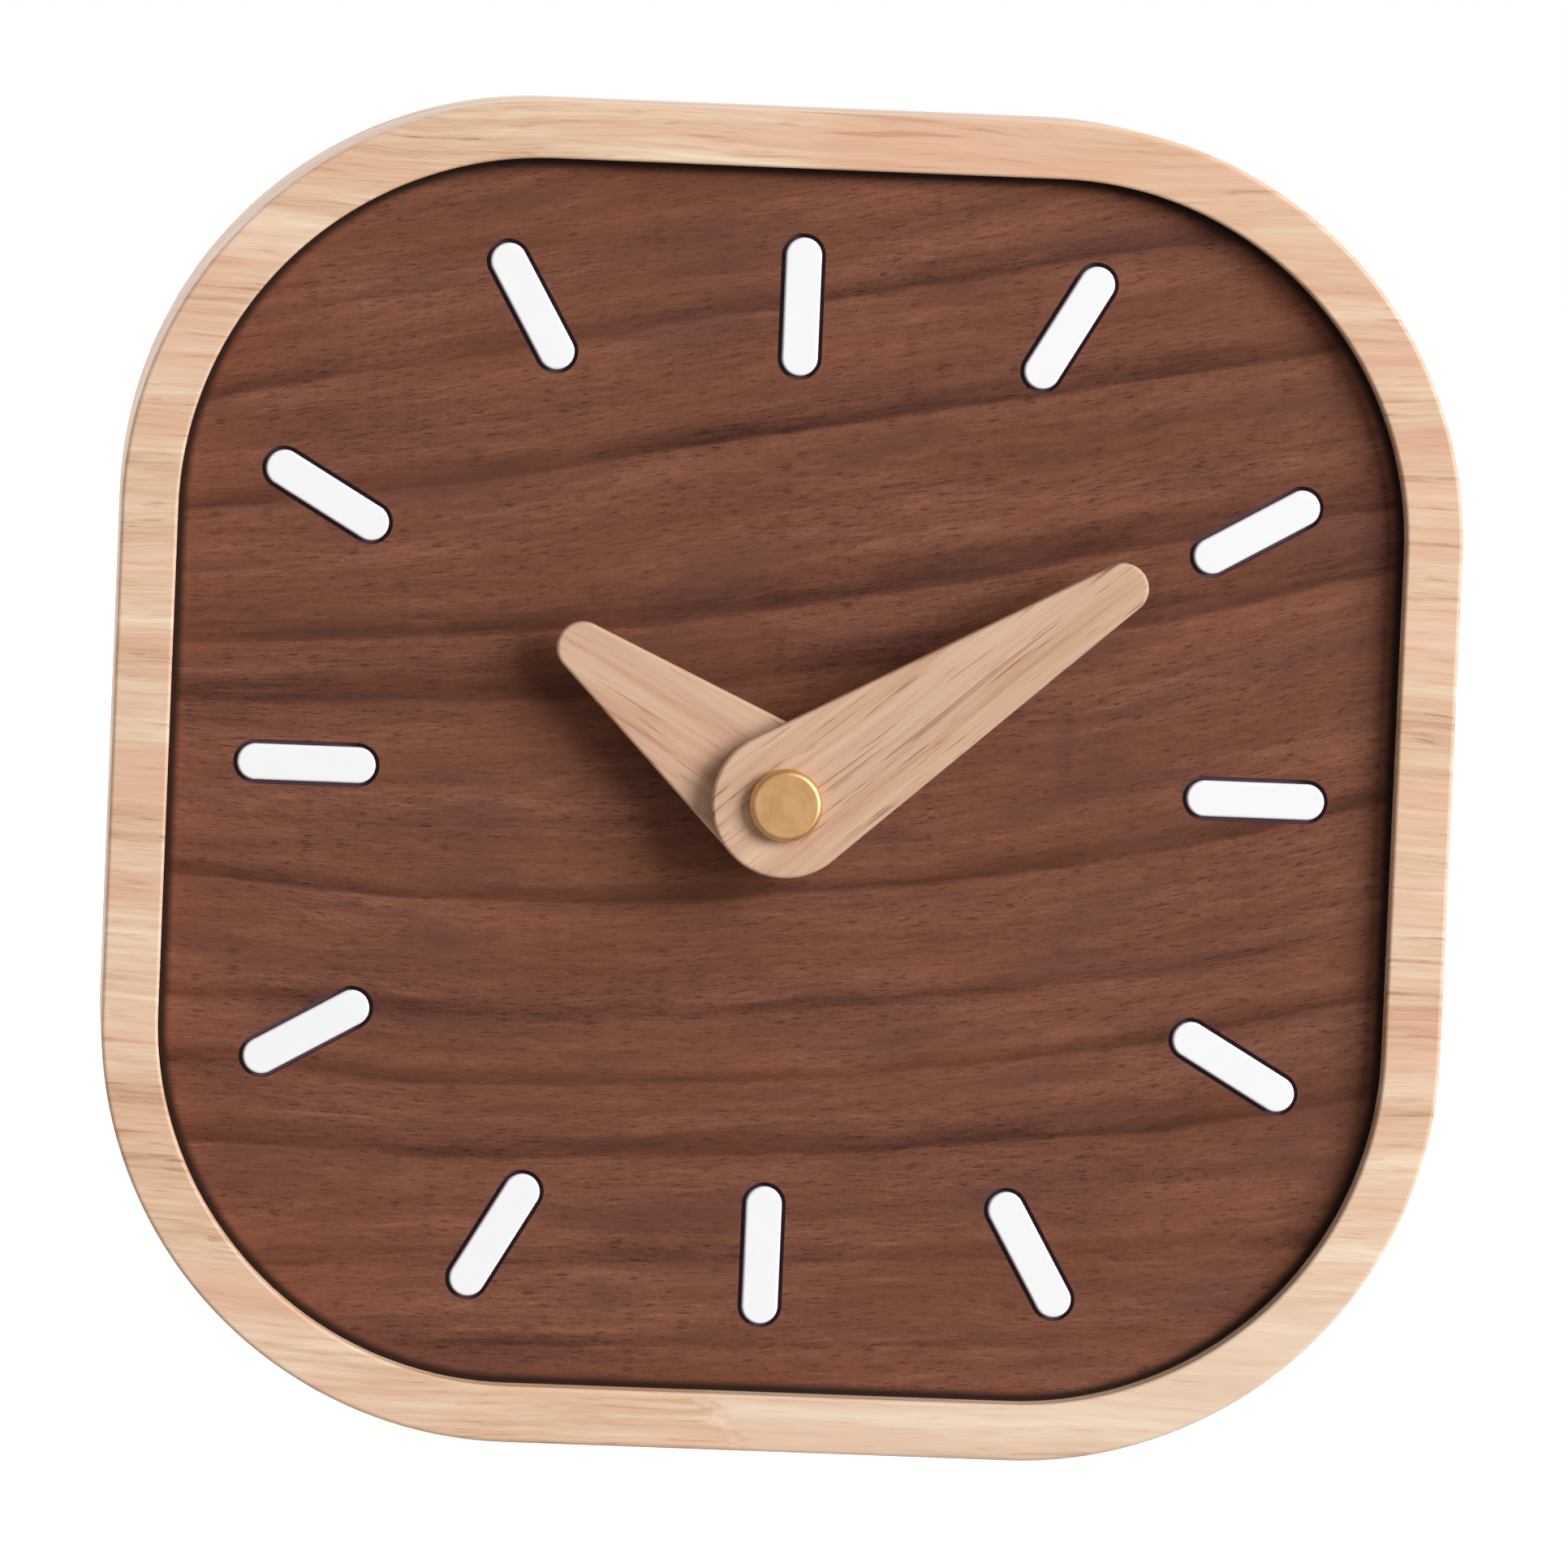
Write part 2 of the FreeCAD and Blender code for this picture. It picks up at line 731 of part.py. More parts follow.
def positive_contact():
    """Contact at the nub, which climbs the right wall and turns onto the board."""
    outer = inner_half - contact_gap
    bottom = axis_height - board_height / 2
    top = bottom + contact_tab_width
    leaf = contact_leaf(1, top)
    back = board_back() - board_thickness
    riser = block(outer - contact_thickness, outer, cell_depth, back, bottom, top)
    tab = contact_tab(outer - board_inset - contact_tab_width, outer, bottom, top)
    return leaf.fuse([riser, tab]).removeSplitter()


def negative_contact():
    """Contact at the flat end, which runs back along the trough to the board."""
    outer = inner_half - contact_gap
    top = partition_top + contact_gap + contact_thickness
    leaf = contact_leaf(-1, top)
    right = inner_half - board_inset - board_width + 2 * contact_tab_width
    left = right - contact_tab_width
    run = block(
        -outer, right, cell_depth, cell_depth + contact_width / 2, top - contact_thickness, top)
    back = board_back() - board_thickness
    riser = block(left, right, cell_depth, back, top - contact_thickness, top)
    tab = contact_tab(left, right, top - contact_thickness, axis_height - board_height / 2
                      + contact_tab_width)
    return leaf.fuse([run, riser, tab]).removeSplitter()


def arbor(back_layer, axis):
    """Arbor from the bearing in the front plate to the one in the cover."""
    slack = running_gap
    return bar(arbor_radius, plate_inner - bearing_depth + slack, cover_front - slack, axis)


def rotor_pinion():
    """Arbor and pinion of the step motor's rotor."""
    radius = pitch_radius(rotor_distance, rotor_teeth, intermediate_teeth)
    teeth = pinion(rotor_teeth, radius, intermediate_layer, rotor_turn, rotor_axis)
    return arbor(intermediate_layer, rotor_axis).fuse(teeth).removeSplitter()


def rotor_magnet():
    return tube(magnet_radius, arbor_radius, magnet_front, magnet_front + magnet_thickness, rotor_axis)


def intermediate_wheel():
    """Wheel turned by the rotor, with the pinion that turns the seconds wheel."""
    radius = pitch_radius(rotor_distance, intermediate_teeth, rotor_teeth)
    small = pitch_radius(intermediate_distance, intermediate_pinion_teeth, seconds_teeth)
    disc = wheel(intermediate_teeth, radius, intermediate_layer, intermediate_turn, intermediate_axis)
    teeth = pinion(
        intermediate_pinion_teeth, small, seconds_layer, intermediate_turn, intermediate_axis)
    return arbor(intermediate_layer, intermediate_axis).fuse([disc, teeth]).removeSplitter()


def seconds_wheel():
    """Wheel that turns once a minute; its arbor runs forward inside the minute arbor."""
    radius = pitch_radius(intermediate_distance, seconds_teeth, intermediate_pinion_teeth)
    small = pitch_radius(third_distance, seconds_pinion_teeth, third_teeth)
    disc = wheel(seconds_teeth, radius, seconds_layer, seconds_turn)
    teeth = pinion(seconds_pinion_teeth, small, third_layer, seconds_turn)
    shaft = bar(arbor_radius, dial_front - minute_bush_bottom + end_gap, cover_front - running_gap)
    return shaft.fuse([disc, teeth]).removeSplitter()


def third_wheel():
    """Wheel turned by the seconds pinion, with the pinion that turns the centre wheel."""
    radius = pitch_radius(third_distance, third_teeth, seconds_pinion_teeth)
    small = pitch_radius(third_distance, third_pinion_teeth, centre_teeth)
    disc = wheel(third_teeth, radius, third_layer, third_turn, third_axis)
    teeth = pinion(third_pinion_teeth, small, centre_layer, third_turn, third_axis)
    return arbor(third_layer, third_axis).fuse([disc, teeth]).removeSplitter()


def centre_wheel():
    """Wheel that turns once an hour and drives the minute arbor through the friction spring."""
    radius = pitch_radius(third_distance, centre_teeth, third_pinion_teeth)
    disc = wheel(centre_teeth, radius, centre_layer, centre_turn)
    bore = bar(arbor_tail_radius() + running_gap, centre_layer - overrun,
               centre_layer + wheel_thickness + overrun)
    return disc.cut(bore)


def arbor_tail_radius():
    """Radius of the minute arbor inside the movement, where its pinion is cut."""
    module = 2 * pitch_radius(motion_distance, cannon_teeth, minute_wheel_teeth) / cannon_teeth
    return pitch_radius(motion_distance, cannon_teeth, minute_wheel_teeth) - dedendum_share * module


def minute_arbor():
    """Hollow arbor of the minute hand: pinion, plain shaft, flats and threaded end."""
    back = centre_layer + wheel_thickness + pinion_overhang
    small = pitch_radius(motion_distance, cannon_teeth, minute_wheel_teeth)
    pinion_front = minute_layer - pinion_overhang
    flats_front = dial_front - minute_hand_top
    tail = bar(arbor_tail_radius(), pinion_front, back)
    shaft = bar(minute_arbor_radius, dial_front - minute_bush_bottom, pinion_front)
    flats = flatted_bar(flats_front, dial_front - minute_bush_bottom)
    thread = bar(arbor_thread_radius, cap_face + cap_top_wall + end_gap, flats_front)
    teeth = pinion(cannon_teeth, small, minute_layer, cannon_turn)
    solid = shaft.fuse([tail, flats, thread, teeth])
    bore = bar(arbor_radius + running_gap, dial_front - minute_bush_bottom, back + overrun)
    return solid.cut(bore).removeSplitter()


def friction_spring():
    """Thin spring ring between the pinion of the minute arbor and the centre wheel."""
    front = minute_layer + wheel_thickness + pinion_overhang
    return tube(friction_spring_radius, arbor_tail_radius(), front, front + friction_spring_thickness)


def minute_wheel():
    """Wheel and pinion of the motion work, turning on a post of the movement's case."""
    radius = pitch_radius(motion_distance, minute_wheel_teeth, cannon_teeth)
    small = pitch_radius(motion_distance, minute_pinion_teeth, hour_wheel_teeth)
    disc = wheel(minute_wheel_teeth, radius, minute_layer, minute_wheel_turn, minute_wheel_axis)
    teeth = pinion(minute_pinion_teeth, small, hour_layer, minute_pinion_turn, minute_wheel_axis)
    hub_front = hour_layer + wheel_thickness + pinion_overhang
    solid = disc.fuse([teeth, bar(small, hub_front, minute_layer, minute_wheel_axis)])
    bore = bar(post_radius + running_gap, plate_inner, cover_front, minute_wheel_axis)
    return solid.cut(bore).removeSplitter()


def hour_wheel():
    """Wheel that turns once in twelve hours, with the pipe that carries the hour hand."""
    radius = pitch_radius(motion_distance, hour_wheel_teeth, minute_pinion_teeth)
    disc = wheel(hour_wheel_teeth, radius, hour_layer, hour_wheel_turn)
    pipe = bar(hour_pipe_radius, dial_front - hour_hand_top, hour_layer)
    bore = bar(minute_arbor_radius + running_gap, dial_front - hour_hand_top - overrun,
               hour_layer + wheel_thickness + overrun)
    return disc.fuse(pipe).cut(bore).removeSplitter()


def setting_knob():
    """Knob on the back that sets the hands, moulded in one with its stem and pinion."""
    small = pitch_radius(setting_distance, setting_teeth, minute_wheel_teeth)
    knob_front = movement_back + end_gap
    knob_back = knob_front + knob_height
    knob = bar(knob_radius, knob_front, knob_back, setting_axis)
    knob = knob.makeChamfer(knob_chamfer, edges_at(knob, knob_back))
    for grip in range(knob_grip_count):
        place = polar(knob_radius, full_turn / knob_grip_count * grip, *setting_axis)
        knob = knob.cut(bar(knob_grip_radius, knob_front - overrun, knob_back + overrun, place))
    teeth = pinion(setting_teeth, small, minute_layer, setting_turn, setting_axis)
    stem = bar(knob_stem_radius, minute_layer, knob_front, setting_axis)
    pivot = bar(arbor_radius, plate_inner - bearing_depth + running_gap, minute_layer, setting_axis)
    return knob.fuse([teeth, stem, pivot]).removeSplitter()


def stator():
    """Soft-iron plate of the motor: a bar round the rotor and two legs up to the coil's core."""
    back = stator_front + stator_thickness
    rotor_height = rotor_axis[1]
    low = rotor_height - stator_bar_height / 2
    plate = block(
        -stator_half_width, stator_half_width, stator_front, back, low, low + stator_bar_height)
    top = coil_height + core_height / 2
    for side in (-1, 1):
        ends = sorted((side * (stator_half_width - stator_leg_width), side * stator_half_width))
        plate = plate.fuse(block(ends[0], ends[1], stator_front, back, low, top))
    plate = plate.cut(bar(magnet_radius + air_gap, stator_front - overrun, back + overrun, rotor_axis))
    for side in (-1, 1):
        neck = (rotor_axis[0], rotor_height + side * stator_bar_height / 2)
        plate = plate.cut(bar(stator_neck_radius, stator_front - overrun, back + overrun, neck))
    for place in stake_axes():
        plate = plate.cut(bar(
            stake_radius + thread_gap, stator_front - overrun, back + overrun, place))
    return plate.removeSplitter()


def coil_core():
    """Flat iron bar through the coil, resting on the two posts."""
    core = block(
        -stator_half_width, stator_half_width, core_front, stator_front,
        coil_height - core_height / 2, coil_height + core_height / 2)
    for place in stake_axes():
        core = core.cut(bar(stake_radius + thread_gap, core_front - overrun, stator_front + overrun,
                            place))
    return core


def cross_bar(radius, left, right):
    """Round bar across the movement, along the coil."""
    middle = (core_front + stator_front) / 2
    base = FreeCAD.Vector(left, middle, coil_height)
    return Part.makeCylinder(radius, right - left, base, FreeCAD.Vector(1, 0, 0))


def coil_bobbin():
    """Moulded reel of the coil, with a flat hole for the core."""
    half = coil_length / 2
    reel = cross_bar(bobbin_radius, -half, half)
    reel = reel.fuse([
        cross_bar(bobbin_flange_radius, -half - bobbin_flange, -half),
        cross_bar(bobbin_flange_radius, half, half + bobbin_flange),
    ])
    wide = half + bobbin_flange + overrun
    hole = block(
        -wide, wide, core_front - thread_gap, stator_front + thread_gap,
        coil_height - core_height / 2 - thread_gap, coil_height + core_height / 2 + thread_gap)
    return reel.cut(hole).removeSplitter()


def coil_winding():
    """Copper winding, as the one smooth barrel that such fine wire makes."""
    half = coil_length / 2
    return cross_bar(coil_radius, -half, half).cut(cross_bar(bobbin_radius, -half, half))


def circuit_board():
    """Small board that stands on two posts of the cover."""
    right = inner_half - board_inset
    back = board_back()
    return block(
        right - board_width, right, back - board_thickness, back,
        axis_height - board_height / 2, axis_height + board_height / 2)


def chip():
    """Drop of resin over the chip, on the front of the board."""
    back = board_back() - board_thickness
    place = (inner_half - board_inset - board_width / 2, axis_height)
    drop = bar(chip_radius, back - chip_height, back, place)
    return drop.makeChamfer(chip_chamfer, edges_at(drop, back - chip_height))


def quartz_crystal():
    """Small metal can of the crystal, lying on the board."""
    depth = board_back() - board_thickness - crystal_radius - contact_gap
    left = inner_half - board_inset - board_width / 2 - crystal_length / 2
    height = axis_height + board_height / 2 - 2 * board_post_inset
    base = FreeCAD.Vector(left, depth, height)
    return Part.makeCylinder(crystal_radius, crystal_length, base, FreeCAD.Vector(1, 0, 0))


def build():
    """Each piece of the clock by the name of its node."""
    pieces = {
        "case_ring": case_ring(),
        "dial_panel": dial_panel(),
        "hour_hand": hour_hand(),
        "hour_hand_bush": hour_hand_bush(),
        "minute_hand": minute_hand(),
        "minute_hand_bush": minute_hand_bush(),
        "hand_cap": hand_cap(),
        "bushing": bushing(),
        "bushing_washer": bushing_washer(),
        "bushing_nut": bushing_nut(),
        "gasket": gasket(),
        "movement_case": movement_case(),
        "movement_cover": movement_cover(),
        "battery_cell": battery_cell(),
        "positive_contact": positive_contact(),
        "negative_contact": negative_contact(),
        "rotor_pinion": rotor_pinion(),
        "rotor_magnet": rotor_magnet(),
        "intermediate_wheel": intermediate_wheel(),
        "seconds_wheel": seconds_wheel(),
        "third_wheel": third_wheel(),
        "centre_wheel": centre_wheel(),
        "minute_arbor": minute_arbor(),
        "friction_spring": friction_spring(),
        "minute_wheel": minute_wheel(),
        "hour_wheel": hour_wheel(),
        "setting_knob": setting_knob(),
        "stator": stator(),
        "coil_core": coil_core(),
        "coil_bobbin": coil_bobbin(),
        "coil_winding": coil_winding(),
        "circuit_board": circuit_board(),
        "chip": chip(),
        "quartz_crystal": quartz_crystal(),
    }
    for hour in range(hour_count):
        pieces[f"hour_marker_{hour or hour_count:02d}"] = hour_marker(hour)
    return pieces


os.makedirs("parts", exist_ok=True)
for name, shape in build().items():
    shape.exportStep(f"parts/{name}.step")
    print(name, "solids", len(shape.Solids), "valid", shape.isValid(), "mm3", round(shape.Volume, 1))
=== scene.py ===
# %% [markdown]
# # A wooden desk clock
#
# The clock is a square ring of pale wood with round corners, a walnut dial let into its front,
# white marks, two wooden hands and a battery movement behind the dial. Its pieces come ready
# made, at their real size and place, from a construction model. This lesson dresses them: it
# gives each piece its finish, makes a few pieces again with softer edges, and sets up the studio
# and the camera.
#
# Lengths here are in metres, X runs to the right, Y to the back and Z up. The clock stands on
# the floor at height 0 and its dial faces -Y.

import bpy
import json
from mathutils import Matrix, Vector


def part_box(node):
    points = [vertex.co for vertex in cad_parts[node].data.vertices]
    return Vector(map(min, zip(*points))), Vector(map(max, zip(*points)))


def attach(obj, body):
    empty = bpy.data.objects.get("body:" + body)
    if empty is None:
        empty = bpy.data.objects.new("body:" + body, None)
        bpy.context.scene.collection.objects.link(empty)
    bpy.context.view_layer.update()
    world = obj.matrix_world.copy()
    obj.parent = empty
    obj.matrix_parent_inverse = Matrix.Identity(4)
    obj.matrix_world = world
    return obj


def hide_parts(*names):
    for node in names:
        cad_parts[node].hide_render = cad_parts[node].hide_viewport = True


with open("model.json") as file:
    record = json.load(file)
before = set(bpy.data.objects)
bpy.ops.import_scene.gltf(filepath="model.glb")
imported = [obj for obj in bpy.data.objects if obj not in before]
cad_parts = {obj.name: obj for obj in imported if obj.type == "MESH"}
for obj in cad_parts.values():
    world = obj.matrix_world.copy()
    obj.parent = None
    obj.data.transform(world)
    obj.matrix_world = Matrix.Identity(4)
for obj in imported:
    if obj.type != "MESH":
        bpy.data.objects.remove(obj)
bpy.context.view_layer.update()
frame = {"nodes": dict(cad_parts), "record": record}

import json
import math
import bmesh
import bpy
from mathutils import Color, Matrix, Vector

nodes = frame["nodes"]
mm = 0.001

# %% [markdown]
# ## Where things are
#
# The finishes and the new pieces are drawn from a few places: the faces of the dial and the case,
# the middle of the case and the axis of the hands. These could be typed in, but then they would
# have to be kept in step with the construction model by hand. Reading them from the pieces'
# boxes is shorter and always right.

# %% Places read from the pieces
ring_low, ring_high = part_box("case_ring")
dial_low, dial_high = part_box("dial_panel")
cap_low, cap_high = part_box("hand_cap")
case_front = ring_low.y
case_back = ring_high.y
dial_front = dial_low.y
dial_back = dial_high.y
case_middle = (ring_low.z + ring_high.z) / 2
axis_height = (cap_low.z + cap_high.z) / 2
print("middle of the case", round(case_middle, 4), "axis of the hands", round(axis_height, 4))

# %% [markdown]
# ## The camera
#
# The photograph was taken with a long lens from a little above and to the left, with the camera
# tipped by a couple of degrees. A Track To constraint could point the camera at the dial, but it
# would undo the tip. So the camera's matrix is worked out here: two angles and a distance say
# where it stands, and a third angle rolls it about its line of sight.

# %% Camera
sight_yaw = math.radians(3.09)
sight_rise = math.radians(3.55)
sight_roll = math.radians(2.43)
sight_distance = 1.4
focal_pixels = 17791
photo_width = 1932
aim_right = 0.23 * mm
aim_below_middle = 0.21 * mm

aim = Vector((aim_right, dial_front, case_middle - aim_below_middle))
sight = Vector((
    -math.sin(sight_yaw) * math.cos(sight_rise),
    -math.cos(sight_yaw) * math.cos(sight_rise),
    math.sin(sight_rise),
))
camera = bpy.data.objects.new("camera", bpy.data.cameras.new("camera"))
bpy.context.scene.collection.objects.link(camera)
camera.data.sensor_width = 36
camera.data.lens = camera.data.sensor_width * focal_pixels / photo_width
camera.data.clip_start = 0.1
camera.data.clip_end = 100
facing = (-sight).to_track_quat("-Z", "Y").to_matrix() @ Matrix.Rotation(sight_roll, 3, "Z")
camera.matrix_world = Matrix.Translation(aim + sight * sight_distance) @ facing.to_4x4()
bpy.context.scene.camera = camera
print("lens", round(camera.data.lens), "mm, from", [round(c, 3) for c in camera.location])

# %% [markdown]
# ## Shader maths as Python
#
# A finish is a web of small nodes. In the shader editor such a web can be drawn by hand, but with
# fifty nodes it is quickly lost from sight, so it is written here as sums. `Wire` stands for one
# output of a node, and `a + b` or `1 - a` adds the Math node for it.

# %% Wires
class Wire:
    """Output of a node, which can be added, subtracted, multiplied and divided."""

    def __init__(self, finish, socket):
        self.finish = finish
        self.socket = socket

    def combine(self, operation, *values):
        return self.finish.node("Math", {"operation": operation}, values)

    def __add__(self, other):
        return self.combine("ADD", self, other)

    def __sub__(self, other):
        return self.combine("SUBTRACT", self, other)

    def __rsub__(self, other):
        return self.combine("SUBTRACT", other, self)

    def __mul__(self, other):
        return self.combine("MULTIPLY", self, other)

    def __truediv__(self, other):
        return self.combine("DIVIDE", self, other)

    __radd__ = __add__
    __rmul__ = __mul__

    def __abs__(self):
        return self.combine("ABSOLUTE", self)


print("wires can be added, subtracted, multiplied and divided")

# %% [markdown]
# ## A finish
#
# `Finish` holds one material. Its `node` makes any node: the settings come first, because some of
# them change which inputs a node has, then the inputs, each a plain value or a wire. Its `paint`
# does the same for the shader, and names the shader's inputs.

# %% Finishes
class Finish:
    """Material with one Principled shader."""

    def __init__(self, name):
        self.material = bpy.data.materials.new(name)
        self.material.use_nodes = True
        self.tree = self.material.node_tree
        self.shader = self.tree.nodes["Principled BSDF"]

    def join(self, value, socket):
        if isinstance(value, Wire):
            self.tree.links.new(value.socket, socket)
        else:
            socket.default_value = value

    def node(self, kind, settings=None, inputs=(), output=0):
        """New node, as the wire of one of its outputs."""
        made = self.tree.nodes.new("ShaderNode" + kind)
        for name, value in (settings or {}).items():
            if name == "stops":
                stops = made.color_ramp.elements
                while len(stops) < len(value):
                    stops.new(1)
                for stop, (position, colour) in zip(stops, value):
                    stop.position = position
                    stop.color = colour
            else:
                setattr(made, name, value)
        pairs = inputs.items() if isinstance(inputs, dict) else enumerate(inputs)
        for name, value in pairs:
            self.join(value, made.inputs[name])
        return Wire(self, made.outputs[output])

    def paint(self, **inputs):
        """Values or wires for the shader, named as its sockets are, with _ for a space."""
        for name, value in inputs.items():
            self.join(value, self.shader.inputs[name.replace("_", " ")])
        return self.material


def shade(red, green, blue):
    """Colour as it looks on a screen, from 0 to 255, turned into light."""
    linear = Color((red / 255, green / 255, blue / 255)).from_srgb_to_scene_linear()
    return (*linear, 1)


def grey(value):
    return (value, value, value, 1)


print("white paint is", [round(c, 2) for c in shade(250, 250, 250)])

# %% [markdown]
# ## Places and steps
#
# A pattern needs a place to start from. `place` reads the piece's own coordinates, moves them to
# a centre, turns them about the Y axis and gives them in millimetres, so that grain can be
# written as "every two millimetres". Generated coordinates would be shorter to get, but they
# stretch with each piece's box, and then no two pieces would have the same grain.

# %% Coordinates, steps and mixtures
def place(finish, centre=(0, 0, 0), turn=0):
    """Object coordinates in millimetres from a centre, as three wires."""
    coordinates = finish.node("TexCoord", output="Object")
    mapped = finish.node("Mapping", {"vector_type": "TEXTURE"}, {
        "Vector": coordinates, "Location": centre, "Rotation": (0, turn, 0),
        "Scale": (mm, mm, mm)})
    split = finish.node("SeparateXYZ", inputs=[mapped])
    outputs = split.socket.node.outputs
    return [Wire(finish, outputs[axis]) for axis in "XYZ"]


def rise(finish, value, low, high, bottom=0, top=1):
    """Smooth climb from bottom to top while a value goes from low to high."""
    return finish.node("MapRange", {"interpolation_type": "SMOOTHSTEP"}, {
        "Value": value, "From Min": low, "From Max": high, "To Min": bottom, "To Max": top})


def greater(finish, first, second):
    return finish.node("Math", {"operation": "MAXIMUM"}, [first, second])


def smaller(finish, first, second):
    return finish.node("Math", {"operation": "MINIMUM"}, [first, second])


def root(finish, value):
    return finish.node("Math", {"operation": "SQRT"}, [value])


def zigzag(finish, value, top):
    """Climb from 0 to the top and back again, over and over."""
    return finish.node("Math", {"operation": "PINGPONG"}, [value, top])


def blend(finish, share, first, second):
    """Colour between two colours."""
    return finish.node(
        "Mix", {"data_type": "RGBA"}, {0: share, 6: first, 7: second}, output=2)


def colours(finish, value, *stops):
    """Colour for a value, from a few stops given as a place and a colour."""
    return finish.node("ValToRGB", {"stops": stops}, [value])


def bump(finish, height, depth, strength=1):
    """Normal of a surface raised by a height from 0 to 1 times a depth."""
    return finish.node("Bump", {}, {"Height": height, "Distance": depth, "Strength": strength})


print("helpers: place, rise, greater, smaller, root, zigzag, blend, colours, bump")

# %% [markdown]
# ## Noise
#
# Nothing that grew or was used is even, and noise stands for that. `speckle` is soft noise that
# any axis can stretch: `x * 0.1` makes its blotches ten times as long along X as `x` does, which
# is how fibres are drawn. The others are common uses of it: `sway` strays to both sides of 0,
# `patches` is a mask of blotches with soft rims, and `mottle` is alike along all axes. A pattern
# can be given a seed, a shift along one axis, so that it doesn't repeat another one.

# %% Noise in four forms
def speckle(finish, x, y, z, detail=2, roughness=0.5, seed=0):
    """Soft noise around 0.5 at a place given by three wires or numbers."""
    point = finish.node("CombineXYZ", inputs=[x, y, z + seed])
    return finish.node("TexNoise", {}, {
        "Vector": point, "Scale": 1, "Detail": detail, "Roughness": roughness})


def sway(finish, amount, x, y, z, **settings):
    """Soft noise around 0, by up to half an amount to either side."""
    return amount * (speckle(finish, x, y, z, **settings) - 0.5)


def patches(finish, low, high, x, y, z, **settings):
    """Mask of the places where soft noise climbs from a low to a high value."""
    return rise(finish, speckle(finish, x, y, z, **settings), low, high)


def mottle(finish, point, per_millimetre, **settings):
    """Soft noise around 0.5 that is alike along all three axes."""
    return speckle(finish, *[axis * per_millimetre for axis in point], **settings)


print("noise: speckle, sway, patches, mottle")

# %% [markdown]
# ## Walnut: the growth lines
#
# The dial is one sheet of walnut board. Its growth lines run from left to right, climb to the
# right, and climb steepest in the upper half. A Wave texture would draw such lines at even steps,
# but a tree doesn't grow evenly. So the lines are listed, each with its height, how far it fades
# upwards and how dark it is, and a ramp turns that list into darkness. The line at 9.5 mm, above
# the hub, is partly grain and partly painted shade: its wide fade darkens the dial between the
# hands, where their shade falls. What bends is the height that is looked up. It drops slowly to
# the right, so the lines climb, and drops a little to both sides of one place, so they hang like
# a slack rope. Soft noise makes it wander.

# %% Growth lines of the dial
dark_lines = (
    (-55.0, 1.5, 0.45),
    (-47.0, 2.0, 0.60),
    (-36.6, 3.0, 0.68),
    (-29.2, 1.5, 0.70),
    (-22.8, 1.8, 0.50),
    (-11.2, 2.0, 0.75),
    # partly grain, partly painted shade of the hands: its wide fade darkens the dial between them
    (9.5, 5.0, 0.66),
    (17.0, 4.0, 0.85),
    (34.2, 3.0, 0.75),
    (46.3, 2.5, 0.58),
)
dial_reach = 60.0
line_edge = 0.4
plain_tone = 0.18
slope_start, slope_end = -15, 35
slope_low, slope_high = 0.03, 0.2
sag = 0.0014
sag_left, sag_height, sag_spread = -20, -10, 40


def dial_share(height):
    """Place on the ramp of a height above the middle of the dial, in millimetres."""
    return (height + dial_reach) / (2 * dial_reach)


def bent_height(finish, x, z):
    """Height above the middle of the dial, counted along the growth lines."""
    slope = rise(finish, z, slope_start, slope_end, slope_low, slope_high)
    hollow = (z - sag_height) / sag_spread
    depth = greater(finish, 1 - hollow * hollow, 0) * sag
    height = z - slope * x - depth * (x - sag_left) * (x - sag_left)
    height = height + sway(finish, 2.6, x * 0.025, 0, z * 0.06, detail=1)
    return height + sway(finish, 0.9, x * 0.09, 0, z * 0.4, seed=7)


def growth_lines(finish, height):
    """Darkness of the lines: sharp below, fading upwards."""
    stops = []
    for line, fade, tone in dark_lines:
        stops.append((dial_share(line - line_edge), grey(plain_tone)))
        stops.append((dial_share(line), grey(tone)))
        stops.append((dial_share(line + fade), grey(plain_tone)))
    return colours(finish, dial_share(height), *stops)


print(len(dark_lines), "dark lines, at", [line for line, fade, tone in dark_lines], "mm")

# %% [markdown]
# ## Walnut: the rim and the slots
#
# The rim of the dial was cut with heat and is charred dark. The dark band along it is partly
# that charring and partly painted shade, where the dial meets the ring in the corner. The walls
# of the slots for the marks are painted a dull pale mauve, lighter than the wood: painted light
# in the narrow shaded slots. The band could have a material of its own, but it fades into the
# face, so it's a matter of distance. `rim_distance` works out how far any place is from the rim,
# which is a rectangle with round corners.

# %% Distance from the rim of the dial
dial_corner = 34.9
half_width = (dial_high.x - dial_low.x) / 2 / mm
half_height = (dial_high.z - dial_low.z) / 2 / mm
char_shade_start, char_shade_full = -1.2, -0.2
slot_top, slot_full = 0.02, 0.12
slot_floor, slot_end = 2.0, 2.5


def rim_distance(finish, x, z):
    """Distance in millimetres outside the rim of the dial, negative inside it."""
    beyond_x = abs(x) - (half_width - dial_corner)
    beyond_z = abs(z) - (half_height - dial_corner)
    corner_x = greater(finish, beyond_x, 0)
    corner_z = greater(finish, beyond_z, 0)
    reach = root(finish, corner_x * corner_x + corner_z * corner_z)
    inside = smaller(finish, greater(finish, beyond_x, beyond_z), 0)
    return reach + inside - dial_corner


print("dial", round(2 * half_width, 1), "by", round(2 * half_height, 1), "mm")

# %% [markdown]
# ## Walnut: the whole finish
#
# Over the growth lines lie wide soft clouds, narrower bands, fibres, hair-fine fibres and short
# dark pores, all of them along the same bend. A picture of walnut could be laid over the dial
# instead, but it would blur from close by and have no depth for the slots. Here the sum of all
# these is one number, the tone, and a ramp of four browns gives it a colour. Warm and cool
# blotches then keep it from being one hue. The fibres and pores also make the surface uneven,
# by hundredths of a millimetre.

